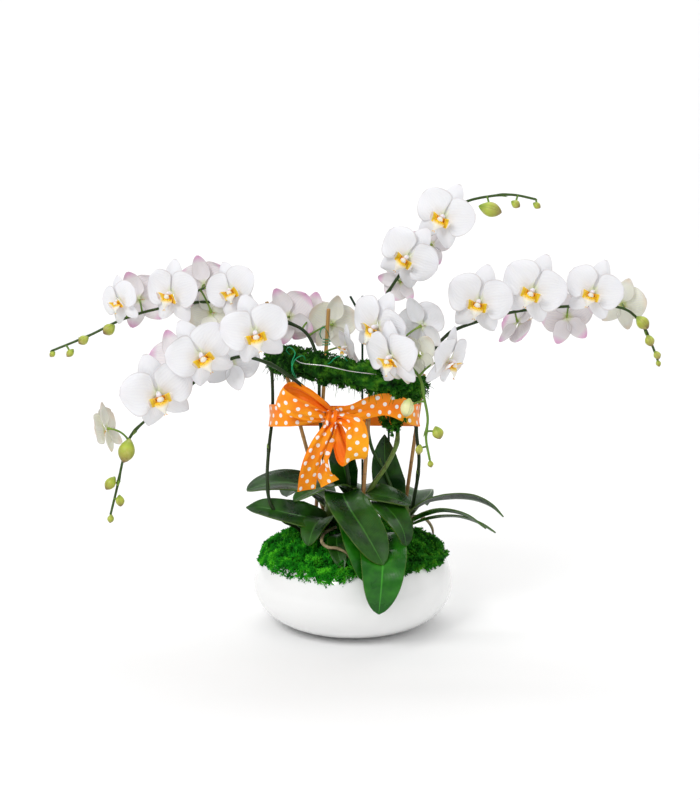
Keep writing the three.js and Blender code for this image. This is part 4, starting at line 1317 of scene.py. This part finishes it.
def ribbon_piece(name, table, looks, nodes=(), rows=60, shift=0.0):
    """A length of ribbon. Each row of its table is a point of the middle line, the direction across the
    ribbon there and the share of its width that it spans, where less than 1 is gathered into pleats."""
    width, cols = RIBBON["width"], 25
    table = np.array(table, float)
    line = spline(table[:, :3], SPAN_STEPS)
    path = resample(line, rows)
    steps = np.linalg.norm(np.diff(line, axis=0), axis=1)
    along = np.concatenate([[0], np.cumsum(steps)])
    knots = np.linspace(0, 1, len(table))
    at = np.interp(np.linspace(0, 1, rows), along[::SPAN_STEPS] / along[-1], knots)
    across = np.stack([np.interp(at, knots, table[:, k]) for k in (3, 4, 5)], axis=1)
    share = np.interp(at, knots, table[:, 6])
    for _ in range(3):
        across[1:-1] = (across[:-2] + 2 * across[1:-1] + across[2:]) / 4
        share[1:-1] = (share[:-2] + 2 * share[1:-1] + share[2:]) / 4
    s = np.linspace(-0.5, 0.5, cols)
    grid = np.zeros((rows, cols, 3))
    for i, tangent in enumerate(tangents(path)):
        side = unit(across[i] - tangent * across[i].dot(tangent))
        normal = np.cross(side, tangent)
        shape = np.cos(2 * math.pi * 1.7 * s + 0.6) + 0.45 * np.cos(2 * math.pi * 3.4 * s + 2 + 0.05 * i)
        pleats = pleat_depth(width, share[i], s, shape) * shape
        bow = 0.04 * width * share[i] * np.cos(math.pi * s)
        grid[i] = path[i] + np.outer(s * width * share[i], side) + np.outer(pleats + bow, normal)
    length = length_of(path)
    uv = layers(np.linspace(0, length, rows)[:, None] + shift, np.linspace(0, width, cols)[None, :])
    shells = Shells()
    shells.sheet(grid, RIBBON["thickness"], uv)
    obj = shells.build(name, LOOKS[looks[0]])
    if looks[1] != looks[0]:
        obj.data.materials.append(LOOKS[looks[1]])
        quads = (rows - 1) * (cols - 1)
        for polygon in obj.data.polygons[quads : 2 * quads]:
            polygon.material_index = 1
    place(obj, "ribbon", *nodes)


def band_height(x, y):
    """The band's middle over the soil: it falls to the back and arches over the stems on the right."""
    right = RIBBON["x"] + RIBBON["half_x"]
    share = min(1.0, max(0.0, (x - KNOT[0] * MM) / (right - KNOT[0] * MM)))
    arch = ARCH * math.sin(math.pi * share**1.3) ** 2 if y < 0 else 0.0
    return RIBBON["height"] - FALL * y + arch


def squared(value):
    """A cosine or sine, moved towards 1 or -1 so that the band is squarer than an ellipse."""
    return math.copysign(abs(value) ** TAUT, value)


def ribbon_band():
    table = []
    for angle in np.linspace(-98, 266, 40):
        a = math.radians(angle)
        lap = 1.004 if angle > 262 else 1.0
        x = RIBBON["x"] + RIBBON["half_x"] * 1.003 * lap * squared(math.cos(a))
        y = RIBBON["half_y"] * 1.005 * lap * squared(math.sin(a))
        near_knot = min(abs(angle + 98), abs(angle - 262)) / 22
        share = 0.62 + 0.38 * float(smoothstep(0.0, 1.0, near_knot))
        sag = 0.1 * math.sin(3 * a)
        point = (x / MM, y / MM, band_height(x, y) / MM)
        table.append((*point, sag * math.cos(a), sag * math.sin(a), 1.0, share))
    ribbon_piece("ribbon_band_satin", table, ("ribbon_back", "ribbon"),
                 ("ribbon_band",), 170)


LEFT_LOOP = [
    (-32, -88, 231, 0.25, 0.0, 0.95, 0.35), (-46, -102, 234, 0.25, -0.15, 0.95, 0.62),
    (-66, -114, 243, 0.3, -0.28, 0.9, 0.9), (-84, -118, 252, 0.32, -0.35, 0.88, 1.0),
    (-96, -108, 261, 0.35, -0.4, 0.85, 1.0), (-88, -96, 267, 0.5, -0.45, 0.75, 1.0),
    (-68, -92, 262, 0.6, -0.5, 0.6, 0.85), (-48, -90, 249, 0.5, -0.3, 0.8, 0.6),
    (-31, -88, 236, 0.4, 0.0, 0.9, 0.35),
]
RIGHT_LOOP = [
    (-24, -90, 229, 0.0, 0.0, 1.0, 0.4), (-13, -104, 229, 0.15, -0.05, 1.0, 0.55),
    (2, -112, 222, 0.75, 0.0, 0.65, 0.85), (5, -114, 205, 0.97, 0.05, 0.2, 1.0),
    (5, -113, 188, 0.96, 0.1, 0.22, 1.0), (0, -106, 174, 0.92, 0.15, 0.35, 1.0),
    (-8, -96, 176, 0.92, 0.2, 0.35, 0.95), (-15, -91, 192, 0.95, 0.25, 0.1, 0.8),
    (-21, -88, 210, 0.95, 0.2, 0.0, 0.6), (-25, -87, 224, 0.95, 0.0, 0.1, 0.4),
]
LEFT_TAIL = [
    (-30, -90, 222, 0.95, 0.1, -0.25, 0.4), (-36, -96, 210, 0.9, 0.2, -0.3, 0.6),
    (-46, -100, 192, 0.82, 0.45, -0.3, 0.85), (-55, -99, 170, 0.78, 0.55, -0.2, 0.95),
    (-60, -96, 148, 0.76, 0.6, -0.05, 1.0), (-62, -94, 131, 0.76, 0.62, 0.0, 1.0),
]
RIGHT_TAIL = [
    (-26, -88, 220, 0.9, 0.0, 0.2, 0.4), (-28, -90, 207, 0.85, -0.2, 0.3, 0.35),
    (-33, -90, 191, 0.45, -0.85, 0.2, 0.45), (-36, -87, 174, 0.05, -1.0, 0.1, 0.7),
    (-37, -85, 160, 0.4, -0.9, -0.1, 0.9), (-37, -84, 149, 0.85, -0.45, -0.35, 1.0),
    (-31, -84, 138, 0.85, -0.2, -0.5, 1.0),
]


def knot():
    """The bow's knot: a short gathered band that wraps over the loops' roots."""
    x, y, z = KNOT
    table = []
    for angle in np.linspace(0, 350, 16):
        a = math.radians(angle + 20)
        point = (x + 1.5 * math.cos(a), y - 9.5 * math.sin(a) - 1, z + 9.5 * math.cos(a))
        table.append((*point, 1.0, 0.1 * math.sin(3 * a), 0.25, 0.58))
    looks = ("ribbon", "ribbon")
    ribbon_piece("ribbon_knot", table, looks, rows=50, shift=0.009)


def ribbons():
    ribbon_band()
    face, back, on_knot = ("ribbon", "ribbon_back"), ("ribbon_back", "ribbon"), ["ribbon_knot"]
    ribbon_piece("ribbon_loop_left", LEFT_LOOP, face, ("ribbon_bow",), 80)
    ribbon_piece("ribbon_loop_right", RIGHT_LOOP, back, (), 80, 0.010)
    knot()
    ribbon_piece("ribbon_tail_long", LEFT_TAIL, back, ("ribbon_tail_left",))
    ribbon_piece("ribbon_tail_twisted", RIGHT_TAIL, back, ("ribbon_tail_right",), 60, 0.005)


# ---------------------------------------------------------------- ties, wire and roots


# Each twist tie's centre, the axis that it is wound about and its radius, in millimetres.
TWISTS = (
    ((24, -45, 260), (0.1, 0.1, 1), 5.2),
    ((-45, 28, 275), (0, 0, 1), 7.2),
    ((-37, 38, 312), (0.1, 0, 1), 5.2),
    ((88, 20, 256), (0, 0, 1), 9),
    ((-112, 32, 352), (1, 0.3, 0.3), 6),
)
RAFFIA = (
    [(-74, -92, 282), (-78, -104, 292), (-80, -106, 304), (-76, -98, 316), (-84, -86, 322), (-88, -76, 316),
     (-80, -70, 306)],
    [(-76, -96, 282), (-80, -108, 296), (-76, -104, 308), (-66, -96, 312), (-62, -88, 304)],
    [(-36, -92, 300), (-30, -104, 304), (-24, -104, 310), (-14, -98, 312), (-8, -90, 304)],
    [(-44, 30, 318), (-46, 24, 326), (-42, 26, 334), (-36, 32, 328), (-33, 40, 318)],
)
HOOP_WIRE = [(-80, -72, 306), (-66, -102, 303), (-36, -112, 301), (-4, -111, 294), (30, -100, 288)]


def twist(centre, axis, radius, turns=2.5, pitch=0.004):
    """The line of a wire wound round something: a short helix about an axis."""
    axis = unit(np.array(axis, float))
    first = unit(np.cross(axis, (0.3, 0.2, 0.9)))
    second = np.cross(axis, first)
    a = np.linspace(0, 2 * math.pi * turns, int(24 * turns))
    rise = np.linspace(-0.5, 0.5, len(a)) * pitch * turns
    coil = (np.outer(np.cos(a), first) + np.outer(np.sin(a), second)) * radius * MM
    return above_roots(centre) + coil + np.outer(rise, axis)


def ties():
    """Green ties that hold the stems to the stakes and the hoop, and a thin grey wire along the hoop."""
    shells = Shells()
    for row in TWISTS:
        line = twist(*row)
        shells.tube(line, np.full(len(line), 0.0007), 6)
    for route in RAFFIA:
        shells.tube(resample(spline(route), 50), np.full(50, 0.0008), 6, 0.6)
    place(shells.build("plant_ties", LOOKS["raffia"]), "green_wire")
    shells = Shells()
    shells.tube(resample(spline(HOOP_WIRE), 60), np.full(60, 0.0006), 6)
    place(shells.build("hoop_wire", LOOKS["metal"]), "green_wire")


ROOT_ROUTES = (
    [(-24, -40, 66), (-40, -76, 66), (-42, -90, 59), (-34, -98, 54), (-22, -102, 54), (-10, -103, 48),
     (-4, -102, 38)],
    [(74, 8, 68), (92, 26, 64), (106, 42, 54), (114, 50, 40), (116, 54, 26)],
    [(-34, 6, 72), (-50, 40, 66), (-66, 70, 56), (-80, 86, 40), (-86, 90, 28)],
    [(4, 2, 76), (10, 34, 72), (4, 70, 60), (-4, 96, 46), (-10, 108, 30)],
)


def roots():
    """Pale aerial roots that leave the crowns and run over the moss."""
    shells = Shells()
    for route in ROOT_ROUTES:
        line = resample(spline(route), 60)
        shells.tube(line, np.interp(np.linspace(0, 1, 60), (0, 0.8, 1), (0.0024, 0.0021, 0.0009)), 10)
    place(shells.build("aerial_roots", LOOKS["root"]), "stem")


# ---------------------------------------------------------------- the whole arrangement

bowl()
bark()
moss_mat()
moss_hoop()
for spike_name, spike_row in SPIKES.items():
    spike(spike_name, spike_row)
flowers()
for leaf_name, leaf_row in LEAVES.items():
    place(leaf(leaf_name, *leaf_row), "leaf", leaf_name)
for leaf_name, leaf_row in SMALL_LEAVES.items():
    place(leaf(leaf_name, *leaf_row), "leaf")
for crown_name, crown_row in CROWNS.items():
    place(crown(crown_name, *crown_row), "crown", crown_name)
canes()
wires()
ribbons()
ties()
roots()


# ---------------------------------------------------------------- studio


FLOOR = {"half": 6.0, "front_of_curve": 2.4, "curve": 1.6, "wall": 5.0}


def studio():
    """A floor that curves up into a wall behind the plant."""
    half, start, curve = FLOOR["half"], FLOOR["front_of_curve"], FLOOR["curve"]
    profile = [(-half, 0.0), (start, 0.0)]
    rise = np.linspace(0.1, math.pi / 2, 12)
    profile += [(start + curve * math.sin(a), curve * (1 - math.cos(a))) for a in rise]
    profile += [(start + curve, FLOOR["wall"])]
    verts = [(x, y, z) for y, z in profile for x in (-half, half)]
    faces = [(2 * i, 2 * i + 1, 2 * i + 3, 2 * i + 2) for i in range(len(profile) - 1)]
    make_object("studio_floor", verts, faces, LOOKS["floor"])


def area_light(name, place_at, aim, size, power):
    data = bpy.data.lights.new(name, "AREA")
    data.shape = "RECTANGLE"
    data.size, data.size_y = size
    data.energy = power
    light = bpy.data.objects.new(name, data)
    light.location = place_at
    light.rotation_euler = (Vector(aim) - Vector(place_at)).to_track_quat("-Z", "Y").to_euler()
    bpy.context.scene.collection.objects.link(light)


studio()
area_light("key_light", (-1.2, -1.8, 2.1), (0, 0, 0.3), (1.0, 1.0), 31)
area_light("fill_light", (1.9, -1.3, 1.2), (0, 0, 0.3), (1.8, 1.8), 5)
area_light("top_light", (0.3, 0.7, 2.4), (0, 0, 0.2), (2.0, 2.0), 13)
area_light("wall_light", (0.0, 1.4, 3.2), (0, 4.0, 0.9), (3.5, 1.0), 52)
AIR_STRENGTH = 0.58
world = bpy.data.worlds.new("studio_air")
world.use_nodes = True
world.node_tree.nodes["Background"].inputs["Color"].default_value = (1, 1, 1, 1)
world.node_tree.nodes["Background"].inputs["Strength"].default_value = AIR_STRENGTH
bpy.context.scene.world = world
bpy.context.scene.view_settings.view_transform = "Standard"

CAMERA = {"lens": 65.2, "sensor": 36, "place": (-0.0043, -1.9696, 0.6637), "tilt": 80}
camera_data = bpy.data.cameras.new("camera")
camera_data.lens = CAMERA["lens"]
camera_data.sensor_width = CAMERA["sensor"]
camera = bpy.data.objects.new("camera", camera_data)
camera.location = CAMERA["place"]
camera.rotation_euler = (math.radians(CAMERA["tilt"]), 0, 0)
bpy.context.scene.collection.objects.link(camera)
bpy.context.scene.camera = camera
